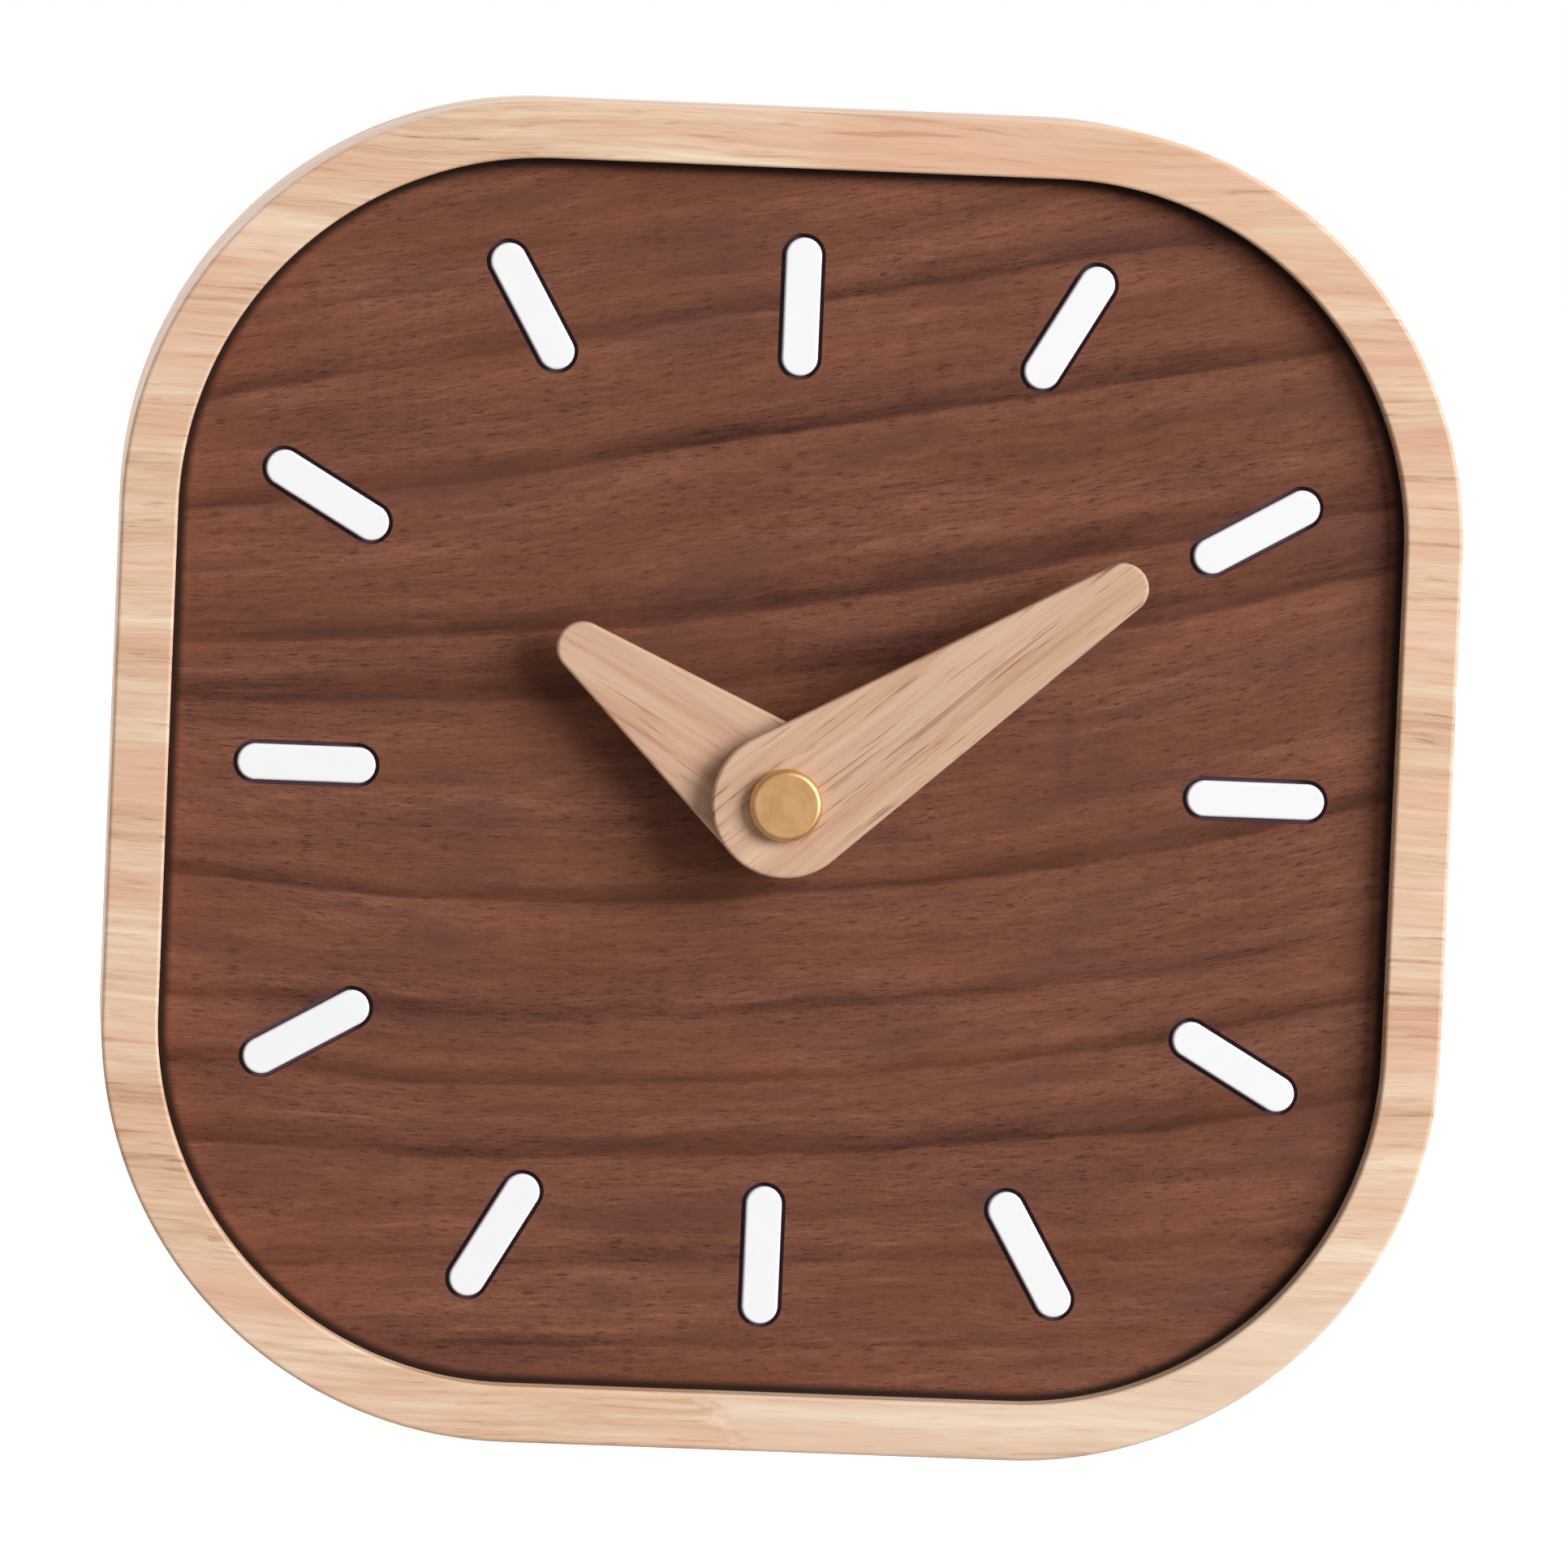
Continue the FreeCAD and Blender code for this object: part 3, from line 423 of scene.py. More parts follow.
# %% Walnut
def walnut_finish():
    finish = Finish("walnut")
    x, y, z = place(finish, (0, dial_front, case_middle))
    height = bent_height(finish, x, z)
    lines = growth_lines(finish, height)
    unbroken = patches(finish, 0.35, 0.6, x * 0.06, 0, height * 0.5, detail=3, seed=21)
    clouds = sway(finish, 0.5, x * 0.02, 0, height * 0.2, seed=3)
    bands = sway(
        finish, 0.6, x * 0.05, y * 0.3, height * 0.8, detail=4, roughness=0.65, seed=51)
    fibre = sway(finish, 1, x * 0.3, y, height * 2.2, detail=4, roughness=0.75, seed=11)
    hair = sway(finish, 0.65, x * 1.6, y, height * 7, detail=3, roughness=0.75, seed=31)
    pores = patches(finish, 0.56, 0.68, x * 0.6, y, height * 4.6, detail=3, seed=17)
    tone = 0.19 + lines * (0.55 + 0.4 * unbroken) + clouds + bands
    tone = tone + 0.75 * fibre + hair + 0.34 * pores
    wood = colours(
        finish, tone,
        (0.0, shade(156, 103, 79)), (0.3, shade(126, 78, 60)),
        (0.6, shade(97, 56, 44)), (1.0, shade(58, 31, 25)))
    warm = patches(finish, 0.35, 0.65, x * 0.03, 0, height * 0.16, detail=3, seed=41)
    wood = blend(finish, 0.35 * warm, wood, shade(126, 74, 48))
    cool = patches(finish, 0.5, 0.68, x * 0.05, 0, height * 0.25, detail=3, seed=61)
    wood = blend(finish, 0.4 * cool, wood, shade(98, 60, 54))
    # charred rim and painted shade: the dark band stands partly for charring and partly for the
    # shade in the corner against the ring
    char_and_shade = rise(finish, rim_distance(finish, x, z), char_shade_start, char_shade_full)
    wood = blend(finish, char_and_shade, wood, shade(42, 23, 15))
    # painted light: the slot walls are painted a pale mauve, lighter than the wood, which
    # lightens the shade in the narrow slots round the marks
    slot = rise(finish, y, slot_top, slot_full) * rise(finish, y, slot_end, slot_floor)
    wood = blend(finish, slot, wood, shade(148, 116, 128))
    return finish.paint(
        Base_Color=wood, Roughness=0.55 + 0.12 * fibre + 0.1 * pores,
        Specular_IOR_Level=0.15,
        Normal=bump(finish, 0.6 * fibre - 0.8 * pores, 0.03 * mm, 0.6))


walnut = walnut_finish()
print("walnut,", len(walnut.node_tree.nodes), "nodes")

# %% [markdown]
# ## Pale wood
#
# The ring is milled out of a board whose grain runs sideways through all of it. Along the top and
# the bottom one sees long streaks, down the sides many short ones, and on the outer sides, left
# and right, the ends of the fibres. Pictures wrapped round the ring would have to be cut and
# matched at each edge. A pattern that is worked out in three dimensions gives all of these by
# itself. The board was glued up from shorter pieces with finger joints, so its lower right is
# paler and its upper right more tan. The outer sides are painted a little paler: a painted sheen
# of the bright light that falls on them at a slant.

# %% Pale wood of the ring
lean_back, lean_right = 0.35, 0.02
low_edge, low_joint = (-42, -52), (-55, -51)
high_edge, high_joint = (45, 55), (-26, -20)
other_grain = 60
painted_sheen_start, painted_sheen_end = 5.0, 5.5


def pale_wood_finish():
    finish = Finish("pale_wood")
    x, y, z = place(finish, (0, case_front, case_middle))
    height = z + lean_back * y + lean_right * x
    height = height + sway(finish, 5, x * 0.02, y * 0.03, z * 0.03, detail=1)
    height = height + sway(finish, 0.8, x * 0.09, y * 0.09, z * 0.3, seed=5)
    # masks of the two shorter pieces, with the fingers of their joints
    fingers = sway(finish, 9, 0, y * 0.1, height * 0.8, seed=71)
    low_right = rise(finish, z, *low_edge) * rise(finish, x + 0.8 * z + fingers, *low_joint)
    high_right = rise(finish, z, *high_edge) * rise(finish, x - 0.4 * z + fingers, *high_joint)
    along = x + other_grain * low_right
    bands = sway(
        finish, 1.6, along * 0.01, y * 0.02, height * 0.24, detail=3, roughness=0.6)
    streaks = sway(
        finish, 1, along * 0.05, y * 0.4, height * 1.25, detail=4, roughness=0.65, seed=13)
    hair = sway(finish, 1, x * 0.3, y * 2, height * 4.2, detail=3, roughness=0.6, seed=23)
    line = patches(finish, 0.62, 0.7, x * 0.04, y * 0.3, height * 1.1, seed=83)
    dash = patches(finish, 0.6, 0.7, x * 0.2, y * 1.3, height * 2.6, seed=37)
    tone = 0.44 + bands + 1.3 * streaks + 0.5 * hair + 0.26 * dash + 0.34 * line
    tone = tone - 0.13 * low_right + high_right * (0.06 + 0.3 * line)
    wood = colours(
        finish, tone,
        (0.0, shade(250, 230, 202)), (0.35, shade(237, 205, 174)),
        (0.65, shade(222, 180, 147)), (1.0, shade(184, 134, 102)))
    hue = patches(finish, 0.38, 0.62, x * 0.02, y * 0.03, height * 0.2, detail=3, seed=47)
    wood = blend(finish, 0.45 * hue, wood, shade(234, 176, 148))
    wood = blend(finish, 0.3 * high_right, wood, shade(224, 172, 134))
    wood = blend(finish, 0.35 * low_right, wood, shade(240, 220, 196))
    # painted sheen: the outer sides of the ring are painted paler, standing in for the bright
    # slanting light on them
    outside = rise(finish, rim_distance(finish, x, z), painted_sheen_start, painted_sheen_end)
    wood = blend(finish, 0.12 * outside, wood, shade(246, 230, 214))
    return finish.paint(
        Base_Color=wood, Roughness=0.45 + 0.15 * streaks, Specular_IOR_Level=0.5,
        Normal=bump(finish, 0.6 * streaks + 0.3 * hair - 0.6 * dash, 0.02 * mm, 0.5))


pale_wood = pale_wood_finish()
print("pale wood,", len(pale_wood.node_tree.nodes), "nodes")

# %% [markdown]
# ## Wood of the hands
#
# Each hand is sawn along the grain, so the streaks run from the hub to the tip. One finish could
# serve both hands only if they pointed the same way. So one function makes two finishes, each
# turned with its hand, and with a seed of its own, because no two pieces of wood are alike.

# %% Wood of the two hands
minute_turn = math.radians(55.1)
hour_turn = math.radians(305.4)
grain_lean = 0.09


def hand_wood_finish(name, turn, seed, warmth):
    finish = Finish(name)
    across, y, along = place(finish, (0, dial_front, axis_height), turn)
    side = across + grain_lean * along
    side = side + sway(
        finish, 1.6, across * 0.12, y * 0.1, along * 0.05, detail=1, seed=seed)
    bands = sway(finish, 0.9, side * 0.42, y * 0.2, along * 0.012, detail=3, seed=seed)
    streaks = sway(
        finish, 1, side * 1.6, y * 0.8, along * 0.045, detail=4, roughness=0.65,
        seed=seed + 9)
    line = patches(
        finish, 0.66, 0.7, side * 1.5, y, along * 0.05, detail=1, seed=seed + 15)
    dash = patches(finish, 0.6, 0.7, side * 3, y * 2, along * 0.16, seed=seed + 4)
    tone = 0.42 + bands + 1.2 * streaks + 0.4 * dash + 0.45 * line
    wood = colours(
        finish, tone,
        (0.0, shade(232, 200, 170)), (0.4, shade(217, 180, 150)),
        (0.65, shade(202, 160, 130)), (1.0, shade(156, 106, 80)))
    wood = blend(finish, warmth, wood, shade(214, 160, 136))
    return finish.paint(
        Base_Color=wood, Roughness=0.55, Specular_IOR_Level=0.25,
        Normal=bump(finish, 0.7 * streaks - 0.6 * dash, 0.02 * mm, 0.5))


minute_wood = hand_wood_finish("minute_hand_wood", minute_turn, seed=2.0, warmth=0.12)
hour_wood = hand_wood_finish("hour_hand_wood", hour_turn, seed=19.0, warmth=0.3)
print("two hands of wood,", len(minute_wood.node_tree.nodes), "nodes each")

# %% [markdown]
# ## White inlay and brass
#
# The marks are matt white, with a cloudiness that is hardly seen but keeps them from looking like
# paper. The brass cap was faced on a lathe, which leaves rings too fine to see one by one. They
# could be modelled as grooves, but these would be thousands of faces on a small piece. Noise that
# depends only on the distance from the axis gives the same sheen.

# %% Inlay and brass
def inlay_finish():
    finish = Finish("white_inlay")
    point = place(finish)
    cloud = mottle(finish, point, 0.4, detail=3)
    white = blend(finish, cloud, shade(248, 249, 250), shade(253, 253, 253))
    return finish.paint(
        Base_Color=white, Roughness=0.6, Specular_IOR_Level=0.3,
        Normal=bump(finish, mottle(finish, point, 9), 0.004 * mm, 0.4))


def brass_finish():
    finish = Finish("brass")
    x, y, z = point = place(finish, (0, 0, axis_height))
    rings = speckle(finish, root(finish, x * x + z * z) * 6, y * 9, 0)
    tarnish = rise(finish, mottle(finish, point, 0.5, detail=3, seed=8), 0.35, 0.65)
    metal = blend(finish, tarnish, shade(244, 194, 138), shade(230, 180, 124))
    return finish.paint(
        Base_Color=metal, Metallic=1.0, Roughness=0.42 + 0.12 * rings,
        Normal=bump(finish, rings, 0.01 * mm, 0.5))


white_inlay = inlay_finish()
brass = brass_finish()
print("white inlay and brass")

# %% [markdown]
# ## Steel, iron, magnet and copper
#
# The contacts, the stator and the core of the coil are stamped from rolled sheet, which leaves
# streaks along the sheet. The same function with other shades also does for the dull magnet.
# The coil is wound of lacquered copper wire: hundreds of turns could be modelled, but at this
# size a zigzag of height across the coil looks the same. Its valleys are painted darker, as
# painted shade between the turns.

# %% Sheet metals and wire
wire_lean = 0.02
wire_half_pitch = 0.09


def steel_finish(name, light, dark, roughness, metallic=1.0):
    """Rolled or stamped metal, with faint streaks and stains."""
    finish = Finish(name)
    x, y, z = point = place(finish)
    streaks = speckle(finish, x * 0.8, y * 6, z * 6, detail=3)
    stains = mottle(finish, point, 0.3, detail=3, seed=6)
    metal = blend(finish, streaks * 0.5 + stains * 0.5, light, dark)
    return finish.paint(
        Base_Color=metal, Metallic=metallic, Roughness=roughness + 0.2 * (stains - 0.5),
        Normal=bump(finish, streaks, 0.004 * mm, 0.5))


def copper_finish():
    """Lacquered wire: the turns stand side by side along X."""
    finish = Finish("copper_wire")
    x, y, z = point = place(finish)
    turns = zigzag(finish, x + wire_lean * z, wire_half_pitch) / wire_half_pitch
    worn = mottle(finish, point, 0.5, detail=3)
    metal = blend(finish, worn, shade(208, 112, 62), shade(168, 78, 40))
    # painted shade: darker colour in the valleys between the turns
    metal = blend(finish, 0.5 - 0.5 * turns, metal, shade(96, 40, 20))
    return finish.paint(
        Base_Color=metal, Metallic=0.9, Roughness=0.35,
        Normal=bump(finish, turns, 0.05 * mm))


plated_steel = steel_finish(
    "plated_steel", shade(214, 212, 206), shade(186, 184, 178), roughness=0.32)
soft_iron = steel_finish(
    "soft_iron", shade(178, 176, 172), shade(142, 140, 138), roughness=0.45)
magnet = steel_finish(
    "magnet", shade(66, 66, 70), shade(44, 44, 46), roughness=0.55, metallic=0.6)
copper_wire = copper_finish()
print("plated steel, soft iron, magnet and copper wire")

# %% [markdown]
# ## Plastics and rubber
#
# The housing of the movement is moulded in a tool with a spark-eroded surface, which leaves an
# even fine grain. The wheels are moulded in a natural white plastic, smoother because their teeth
# have to slide. Each plastic could have a web of its own, but they differ only in numbers. So
# all of them are one recipe: a slow change of shade where the plastic flowed, and a grain with a
# size and a depth.

# %% Moulded pieces
def moulded_finish(name, light, dark, roughness, grain, depth):
    """Moulded plastic, with grain of a size in millimetres and a depth."""
    finish = Finish(name)
    point = place(finish)
    spark = mottle(finish, point, 1 / grain)
    flow = mottle(finish, point, 0.12, seed=5)
    plastic = blend(finish, 0.6 * flow + 0.4 * spark, light, dark)
    return finish.paint(
        Base_Color=plastic, Roughness=roughness + 0.25 * (flow - 0.5),
        Normal=bump(finish, spark, depth))


black_plastic = moulded_finish(
    "black_plastic", shade(40, 40, 42), shade(26, 26, 28),
    roughness=0.5, grain=0.16, depth=0.02 * mm)
white_plastic = moulded_finish(
    "white_plastic", shade(232, 228, 214), shade(218, 212, 196),
    roughness=0.38, grain=0.5, depth=0.004 * mm)
rubber = moulded_finish(
    "rubber", shade(26, 26, 26), shade(16, 16, 16),
    roughness=0.75, grain=0.3, depth=0.02 * mm)
resin = moulded_finish(
    "resin", shade(20, 20, 20), shade(12, 12, 12),
    roughness=0.22, grain=1.5, depth=0.03 * mm)
print("black and white plastic, rubber and resin")

# %% [markdown]
# ## The cell and the circuit board
#
# The cell has a printed jacket between two steel ends, here a plain one in graphite with two
# pale bands. It's one solid, so bands and ends are masks of the distance from its middle. The
# board is green lacquer over copper tracks, which stand a little above it. The tracks are a
# zigzag of height with a step in the middle, which is simpler than drawing a circuit.

# %% Cell jacket and board
half_nub = 0.65
bare_end = 1.35
band_outer = 4.0
band_inner = 6.0
print_edge = 0.1
track_spacing = 0.6
track_edge, track_top = 0.34, 0.4
step_reach, step_rise = 12, 2


def jacket_finish():
    """Battery: a graphite jacket with a pale band at each end, and bare steel beyond them."""
    finish = Finish("cell_jacket")
    cell_low, cell_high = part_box("battery_cell")
    cell_middle = (cell_low + cell_high) / 2
    half_length = (cell_high.x - cell_low.x) / 2 / mm
    x, y, z = point = place(finish, cell_middle)
    from_middle = abs(x + half_nub)

    def outside_of(distance):
        """Mask of what lies nearer to either end than a distance."""
        start = half_length - distance
        return rise(finish, from_middle, start, start + print_edge)

    bare = outside_of(bare_end)
    band = outside_of(band_inner) - outside_of(band_outer)
    scuff = mottle(finish, point, 0.7, detail=4, roughness=0.7)
    colour = blend(finish, scuff, shade(70, 74, 80), shade(88, 92, 98))
    colour = blend(finish, band, colour, shade(206, 208, 210))
    colour = blend(finish, bare, colour, shade(206, 204, 198))
    return finish.paint(
        Base_Color=colour, Metallic=0.35 + 0.65 * bare,
        Roughness=0.3 + 0.15 * (scuff - 0.5), Normal=bump(finish, scuff, 0.01 * mm, 0.5))


def board_finish():
    """Circuit board: green lacquer over copper tracks."""
    finish = Finish("board")
    x, y, z = point = place(finish)
    step = rise(finish, x, -step_reach, step_reach, -step_rise, step_rise)
    raised = rise(finish, zigzag(finish, z + step, track_spacing), track_edge, track_top)
    weave = mottle(finish, point, 5)
    colour = blend(finish, raised, shade(22, 78, 44), shade(44, 112, 62))
    colour = blend(finish, 0.2 * weave, colour, shade(16, 58, 34))
    return finish.paint(
        Base_Color=colour, Roughness=0.32 + 0.1 * weave,
        Normal=bump(finish, raised, 0.03 * mm))


cell_jacket = jacket_finish()
board = board_finish()
print("cell jacket and board")

# %% [markdown]
# ## Dressing the pieces
#
# Forty-six pieces could be given their materials one by one. But the construction model already
# says which finish each piece has, and a finish is one material, so a loop fills every piece's
# material slot. The two hands share one name for their wood there, and the hour hand gets the
# one that is turned its way.

# %% Give every piece its finish
finishes = {
    "pale_wood": pale_wood,
    "walnut": walnut,
    "hand_wood": minute_wood,
    "white_inlay": white_inlay,
    "brass": brass,
    "rubber": rubber,
    "black_plastic": black_plastic,
    "white_plastic": white_plastic,
    "cell_jacket": cell_jacket,
    "plated_steel": plated_steel,
    "magnet": magnet,
    "soft_iron": soft_iron,
    "copper_wire": copper_wire,
    "board": board,
    "resin": resin,
}
slots = {part["node"]: part["material_slot"] for part in frame["record"]["subparts"]}


def dress(piece, material):
    piece.data.materials.clear()
    piece.data.materials.append(material)


for name, piece in nodes.items():
    dress(piece, finishes[slots[name]])
dress(nodes["hour_hand"], hour_wood)
print(len(nodes), "pieces dressed in", len(finishes) + 1, "finishes")

# %% [markdown]
# ## New pieces with softer edges
#
# Where the photograph comes close, an edge is never quite sharp. The ring, the hands, the marks
# and the cap are made again here with rounded edges and finer curves, inside the same outlines.
# A Bevel modifier on the ready-made pieces would trip over their long thin triangles, and a list
# of corners would hide how the piece came about. So each one starts from a circle or a square
# and grows by the same few operators that a modeller uses by hand. `rounded` bevels edges, and
# `new_piece` cleans, shades and places the result.

# %% Helpers for new pieces
weld_distance = 0.0005 * mm
upright = Matrix.Rotation(math.radians(90), 4, "X")


def corners_in(items):
    return [item for item in items if isinstance(item, bmesh.types.BMVert)]


def faces_in(items):
    return [item for item in items if isinstance(item, bmesh.types.BMFace)]


def rounded(build, edges, radius, segments):
    """Round some edges off."""
    bmesh.ops.bevel(
        build, geom=list(edges), offset=radius, offset_type="OFFSET", segments=segments,
        profile=0.5, affect="EDGES", clamp_overlap=True, material=-1)


def new_piece(name, build, material, slot, body, *replaced):
    """Turn a finished bmesh into a piece of the clock."""
    bmesh.ops.remove_doubles(build, verts=build.verts, dist=weld_distance)
    bmesh.ops.recalc_face_normals(build, faces=build.faces)
    mesh = bpy.data.meshes.new(name)
    build.to_mesh(mesh)
    build.free()
    mesh.shade_smooth()
    mesh.materials.append(material)
    piece = bpy.data.objects.new(name, mesh)
    bpy.context.scene.collection.objects.link(piece)
    flat_faces = piece.modifiers.new("flat_faces", "WEIGHTED_NORMAL")
    flat_faces.keep_sharp = True
    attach(piece, body)
    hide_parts(*replaced)
    return piece


print("helpers: corners_in, faces_in, rounded, new_piece")

# %% [markdown]
# ### The ring
#
# The real ring is milled from the board: the outline first, then the recess for the dial, then
# the opening behind it. Boolean cuts could do the same, but they leave long thin faces that take
# a bevel badly. So the mesh grows in the order of the milling. A square with bevelled corners is
# the outline. Insetting it makes the front face, pushing the middle back makes the recess, a
# second inset the ledge that carries the dial, and a second push the opening. The outer wall is
# drawn backwards from the rim, and the two rims at the back are bridged.

# %% Case ring
dial_gap = 0.1 * mm
case_wall = ring_high.x - dial_high.x - dial_gap
corner_radius = 40.5 * mm
corner_segments = 40
ledge_width = 4 * mm
outer_round = 0.45 * mm
inner_round = 0.35 * mm
back_round = 0.5 * mm
same_plane = 0.001 * mm


def push(build, face, step):
    """Extrude one face along Y, and give the moved face back."""
    region = bmesh.ops.extrude_face_region(build, geom=[face])["geom"]
    bmesh.ops.delete(build, geom=[face], context="FACES_ONLY")
    bmesh.ops.translate(build, verts=corners_in(region), vec=(0, step, 0))
    return faces_in(region)[0]


def at_depth(edge, depth):
    """Whether an edge lies at one depth along Y."""
    return all(abs(corner.co.y - depth) < same_plane for corner in edge.verts)


ring = bmesh.new()
bmesh.ops.create_grid(ring, x_segments=1, y_segments=1, size=(ring_high.x - ring_low.x) / 2)
bmesh.ops.bevel(
    ring, geom=list(ring.verts), offset=corner_radius, offset_type="OFFSET",
    segments=corner_segments, profile=0.5, affect="VERTICES", material=-1)
bmesh.ops.transform(
    ring, matrix=Matrix.Translation((0, case_front, case_middle)) @ upright, verts=ring.verts)
middle = list(ring.faces)[0]
bmesh.ops.inset_region(
    ring, faces=[middle], thickness=case_wall, use_boundary=True, use_even_offset=True)
outer_front = [edge for edge in ring.edges if edge.is_boundary]
inner_front = list(middle.edges)
middle = push(ring, middle, dial_back - case_front)
bmesh.ops.inset_region(ring, faces=[middle], thickness=ledge_width, use_even_offset=True)
middle = push(ring, middle, case_back - dial_back)
inner_back = list(middle.edges)
bmesh.ops.delete(ring, geom=[middle], context="FACES_ONLY")
walls = bmesh.ops.extrude_edge_only(ring, edges=outer_front)["geom"]
bmesh.ops.translate(ring, verts=corners_in(walls), vec=(0, case_back - case_front, 0))
wall_edges = [item for item in walls if isinstance(item, bmesh.types.BMEdge)]
outer_back = [edge for edge in wall_edges if at_depth(edge, case_back)]
bmesh.ops.bridge_loops(ring, edges=inner_back + outer_back)
rounded(ring, outer_front, outer_round, segments=5)
rounded(ring, inner_front, inner_round, segments=4)
rounded(ring, outer_back + inner_back, back_round, segments=4)
case_ring = new_piece("soft_case_ring", ring, pale_wood, "pale_wood", "case", "case_ring")
print("case ring,", len(case_ring.data.polygons), "faces, rims of", len(outer_front), "edges")

# %% [markdown]
# ### The marks
#
# A mark is a white inlay, long with round ends, that stands a little out of its slot. Two
# cylinders and a box could be joined for it, but a join leaves seams on the front. One circle
# does it alone: its upper half moves up and its lower half moves down. It gets a thickness, its
# front rim is rounded, and it is turned to its hour.

# %% Hour marks
marker_round = 0.25 * mm
marker_sides = 48
hours = 12


def slab(build, face, thickness):
    """Give a flat face a thickness, keeping it in front, and give the back face."""
    region = bmesh.ops.extrude_face_region(build, geom=[face])["geom"]
    bmesh.ops.translate(build, verts=corners_in(region), vec=(0, 0, -thickness))
    return faces_in(region)[0]


def stand(build, depth, height, turn=0, across=0):
    """Set a drawing upright at a place, with its front at a depth, turned clockwise."""
    bmesh.ops.transform(build, verts=build.verts, matrix=(
        Matrix.Translation((across, depth, height)) @ Matrix.Rotation(turn, 4, "Y") @ upright))


upright_low, upright_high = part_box("hour_marker_12")
marker_length = upright_high.z - upright_low.z
marker_width = upright_high.x - upright_low.x
half_straight = (marker_length - marker_width) / 2
half_side = Matrix.Rotation(math.pi / marker_sides, 4, "Z")
for hour in range(1, hours + 1):
    low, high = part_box(f"hour_marker_{hour:02d}")
    marker = bmesh.new()
    bmesh.ops.create_circle(
        marker, cap_ends=True, segments=marker_sides, radius=marker_width / 2,
        matrix=half_side)
    for side in (-1, 1):
        half = [corner for corner in marker.verts if corner.co.y * side > 0]
        bmesh.ops.translate(marker, verts=half, vec=(0, side * half_straight, 0))
    face = list(marker.faces)[0]
    rim = list(face.edges)
    slab(marker, face, high.y - low.y)
    rounded(marker, rim, marker_round, segments=3)
    centre = (low + high) / 2
    stand(marker, low.y, centre.z, math.tau / hours * hour, centre.x)
    new_piece(f"soft_marker_{hour:02d}", marker, white_inlay, "white_inlay", "case",
              f"hour_marker_{hour:02d}")
print(hours, "marks of", round(marker_length / mm, 1), "by", round(marker_width / mm, 1), "mm")

# %% [markdown]
# ### The hands
#
# A hand tapers from a round hub to a round tip. Drawing that outline corner by corner needs the
# tangent points of two circles. It's easier to start from one disc, the hub, and let it grow:
# the disc gets a thickness, rounded rims and the hole for the brass bush. Then the part of it
# above the tangent points shrinks to the size of the tip and moves up to it, which draws the
# straight sides out behind it and keeps the rounding even.

# %% Hands
hub_radius = 7.1 * mm
hand_round = 0.35 * mm
hand_back_round = 0.2 * mm
hub_sides = 96
hole_slack = 1.05


def hand(name, node, wood, tip_radius, reach, hole_radius, turn):
    low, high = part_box(node)
    build = bmesh.new()
    bmesh.ops.create_circle(build, cap_ends=True, segments=hub_sides, radius=hub_radius)
    front = list(build.faces)[0]
    front_rim = list(front.edges)
    back_rim = list(slab(build, front, high.y - low.y).edges)
    rounded(build, front_rim, hand_round, segments=4)
    rounded(build, back_rim, hand_back_round, segments=2)
    hole = []
    for flat in [face for face in build.faces if len(face.verts) == hub_sides]:
        width = flat.verts[0].co.xy.length - hole_radius
        bmesh.ops.inset_region(build, faces=[flat], thickness=width)
        hole += list(flat.edges)
        bmesh.ops.delete(build, geom=[flat], context="FACES_ONLY")
    bmesh.ops.bridge_loops(build, edges=hole)
    tangent = (hub_radius - tip_radius) / reach
    for corner in list(build.verts):
        radius = corner.co.xy.length
        if radius > hole_radius * hole_slack and corner.co.y > radius * tangent:
            share = (radius - hub_radius + tip_radius) / radius
            bmesh.ops.scale(build, verts=[corner], vec=(share, share, 1))
            bmesh.ops.translate(build, verts=[corner], vec=(0, reach, 0))
    stand(build, low.y, axis_height, turn)
    return new_piece(name, build, wood, "hand_wood", node, node)


hour_hand = hand(
    "soft_hour_hand", "hour_hand", hour_wood,
    tip_radius=2.5 * mm, reach=24.6 * mm, hole_radius=3.4 * mm, turn=hour_turn)
minute_hand = hand(
    "soft_minute_hand", "minute_hand", minute_wood,
    tip_radius=2.45 * mm, reach=38.7 * mm, hole_radius=2.5 * mm, turn=minute_turn)
print("hands of", len(hour_hand.data.polygons), "and", len(minute_hand.data.polygons), "faces")

# %% [markdown]
# ### The brass cap
#
# The cap nut is a short cylinder with a rounded rim and a blind hole behind for the end of the
# arbor. The hole could be cut with a Boolean modifier. An inset and a push give the same faces
# and stay in order.

# %% Cap
cap_round = 0.55 * mm
cap_radius = (cap_high.x - cap_low.x) / 2
cap_thickness = cap_high.y - cap_low.y
cap_hole = 1.23 * mm
cap_wall = 0.7 * mm
cap_sides = 96

cap = bmesh.new()
bmesh.ops.create_circle(cap, cap_ends=True, segments=cap_sides, radius=cap_radius)
face = list(cap.faces)[0]
rim = list(face.edges)
back = slab(cap, face, cap_thickness)
bmesh.ops.inset_region(cap, faces=[back], thickness=cap_radius - cap_hole)
inner = bmesh.ops.extrude_face_region(cap, geom=[back])["geom"]
bmesh.ops.delete(cap, geom=[back], context="FACES_ONLY")
bmesh.ops.translate(cap, verts=corners_in(inner), vec=(0, 0, cap_thickness - cap_wall))
rounded(cap, rim, cap_round, segments=5)
stand(cap, cap_low.y, axis_height)
new_piece("soft_hand_cap", cap, brass, "brass", "minute_hand", "hand_cap")
print("cap", round(2 * cap_radius / mm, 1), "mm across")

# %% [markdown]
# ## The studio: lamps
#
# A large soft light stands at the right, in front of the clock and a little above it. It's far
# away, so that it lights the dial evenly, and large, so that the shadows of the hands have soft
# rims. A Sun lamp with a wide angle would come close, but its light doesn't fade with distance,
# as a real lamp's does. A weak light behind the clock at the left brightens the outer side of
# the ring.

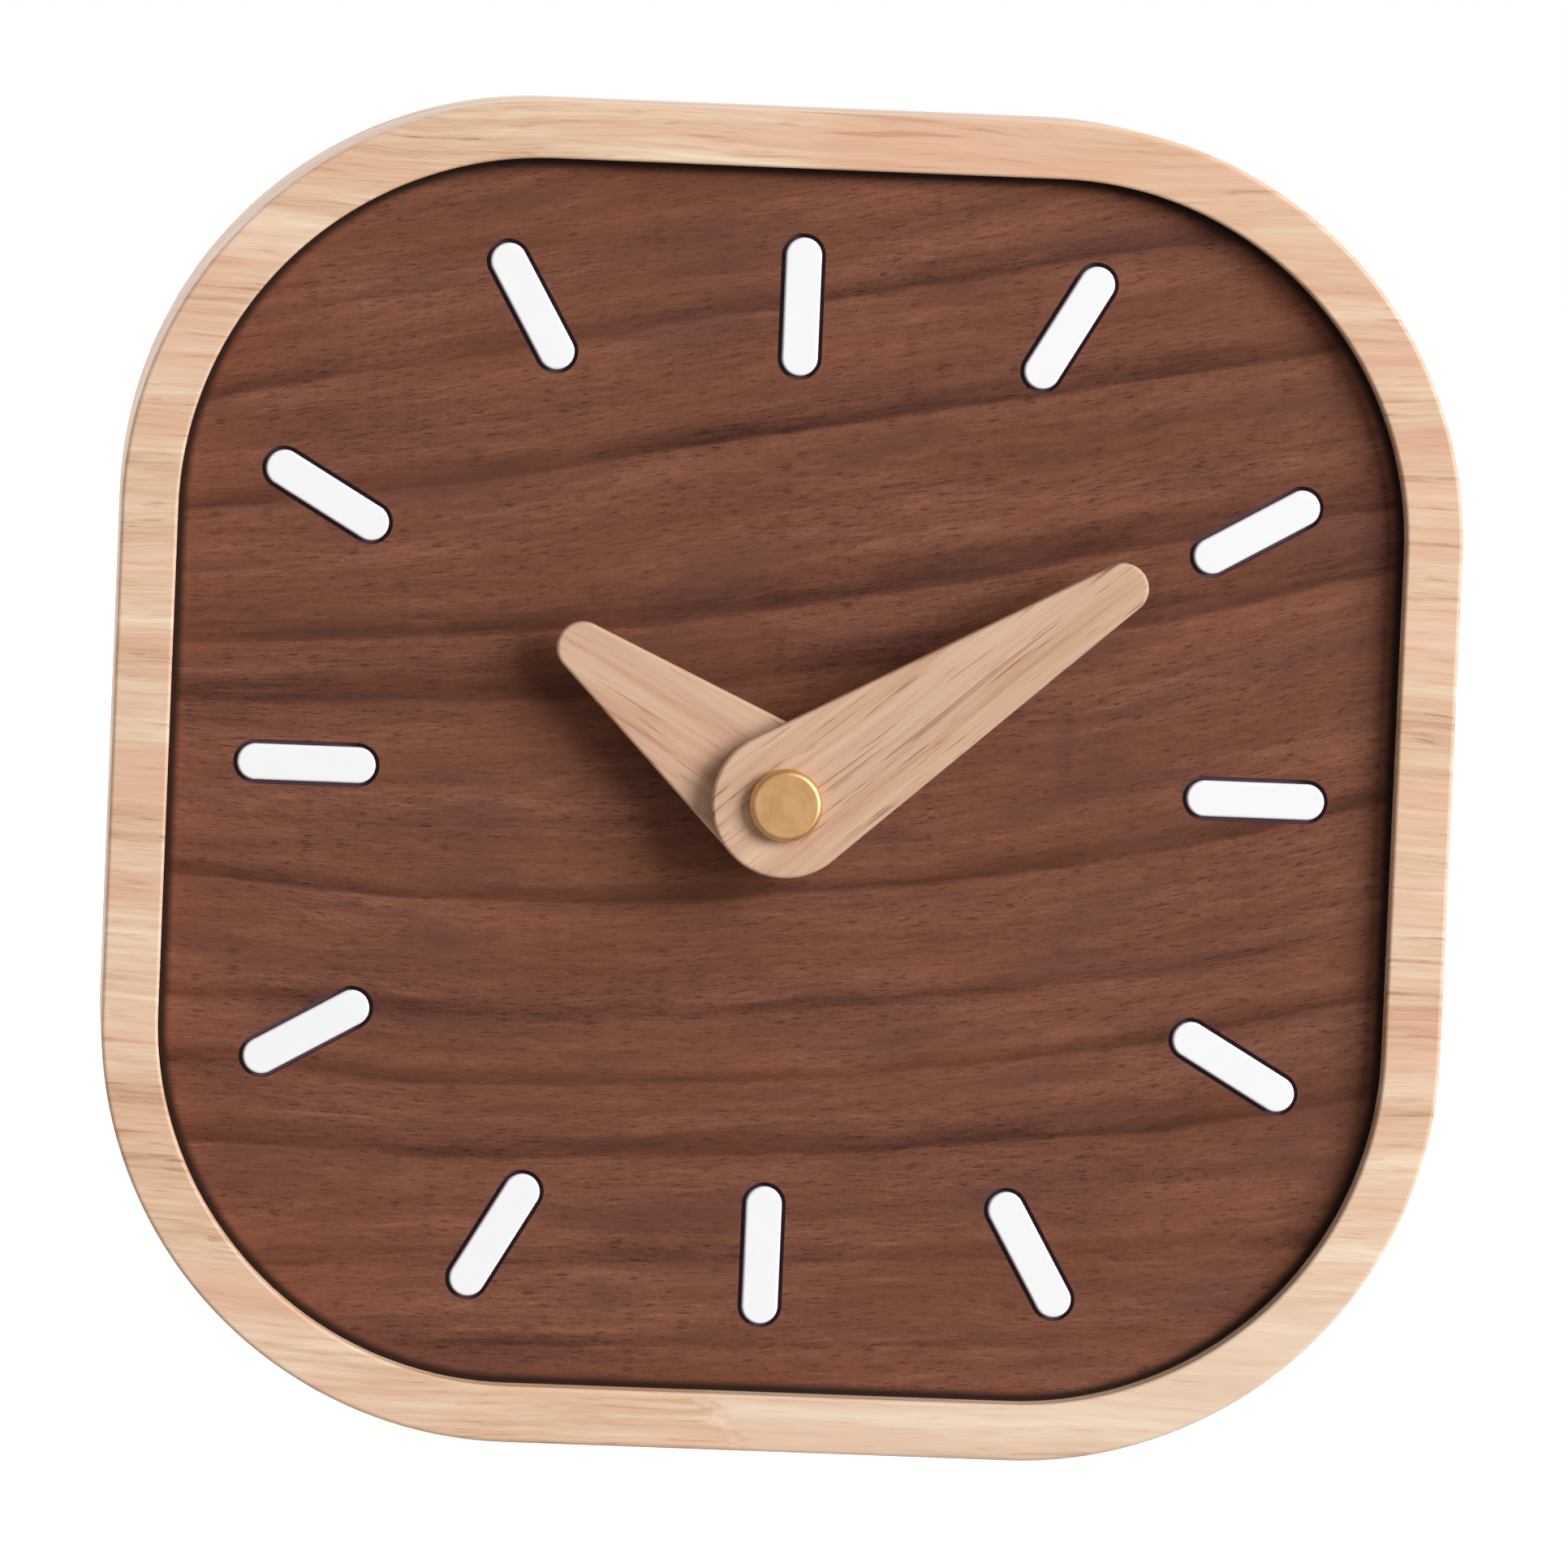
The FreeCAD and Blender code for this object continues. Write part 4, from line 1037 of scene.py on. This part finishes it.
# %% Lamps
def lamp(name, position, size, watts):
    """Square soft light that looks at the middle of the dial."""
    light = bpy.data.lights.new(name, "AREA")
    light.shape = "SQUARE"
    light.size = size
    light.energy = watts
    holder = bpy.data.objects.new(name, light)
    bpy.context.scene.collection.objects.link(holder)
    position = Vector(position)
    target = Vector((0, 0, case_middle))
    facing = (target - position).to_track_quat("-Z", "Y").to_matrix().to_4x4()
    holder.matrix_world = Matrix.Translation(position) @ facing
    return holder


key_light = lamp("key_light", (2.07, -1.98, 0.88), size=1.72, watts=97.5)
rim_light = lamp("rim_light", (-1.2, 1.0, 1.0), size=0.8, watts=6)
print("key light", key_light.data.energy, "W, rim light", rim_light.data.energy, "W")

# %% [markdown]
# ## The studio: room and floor
#
# The backdrop is a brightly lit white wall, while the room in front of the clock is dim, so that
# the shadows on the dial stay deep. Both are the world here: its strength fades with the
# direction along Y, which needs no wall to be built. The floor is a plain disc as white as the
# backdrop. It glows a little, and it neither tints nor mirrors in the clock. The view transform
# is the plain one, so that colours come out as mixed.

# %% Room and floor
backdrop_strength = 1.0
room_strength = 0.3
backdrop_start = -0.1
backdrop_full = 0.3
floor_radius = 4
floor_sides = 96

room = bpy.data.worlds.new("room")
bpy.context.scene.world = room
room.use_nodes = True
room_nodes = room.node_tree.nodes
room_links = room.node_tree.links
direction = room_nodes.new("ShaderNodeTexCoord")
split = room_nodes.new("ShaderNodeSeparateXYZ")
fade = room_nodes.new("ShaderNodeMapRange")
fade.interpolation_type = "SMOOTHSTEP"
fade.inputs["From Min"].default_value = backdrop_start
fade.inputs["From Max"].default_value = backdrop_full
fade.inputs["To Min"].default_value = room_strength
fade.inputs["To Max"].default_value = backdrop_strength
room_links.new(direction.outputs["Generated"], split.inputs[0])
room_links.new(split.outputs["Y"], fade.inputs["Value"])
room_links.new(fade.outputs[0], room_nodes["Background"].inputs["Strength"])
room_nodes["Background"].inputs["Color"].default_value = grey(1)
bpy.context.scene.view_settings.view_transform = "Standard"

floor_build = bmesh.new()
bmesh.ops.create_circle(floor_build, cap_ends=True, segments=floor_sides, radius=floor_radius)
floor_mesh = bpy.data.meshes.new("floor")
floor_build.to_mesh(floor_mesh)
floor_build.free()
floor = bpy.data.objects.new("floor", floor_mesh)
bpy.context.scene.collection.objects.link(floor)
floor_mesh.materials.append(Finish("floor_paint").paint(
    Base_Color=grey(0.9), Roughness=0.9, Emission_Color=grey(1), Emission_Strength=0.7))
floor.visible_diffuse = False
floor.visible_glossy = False
print("backdrop of", backdrop_strength, "and room of", room_strength)
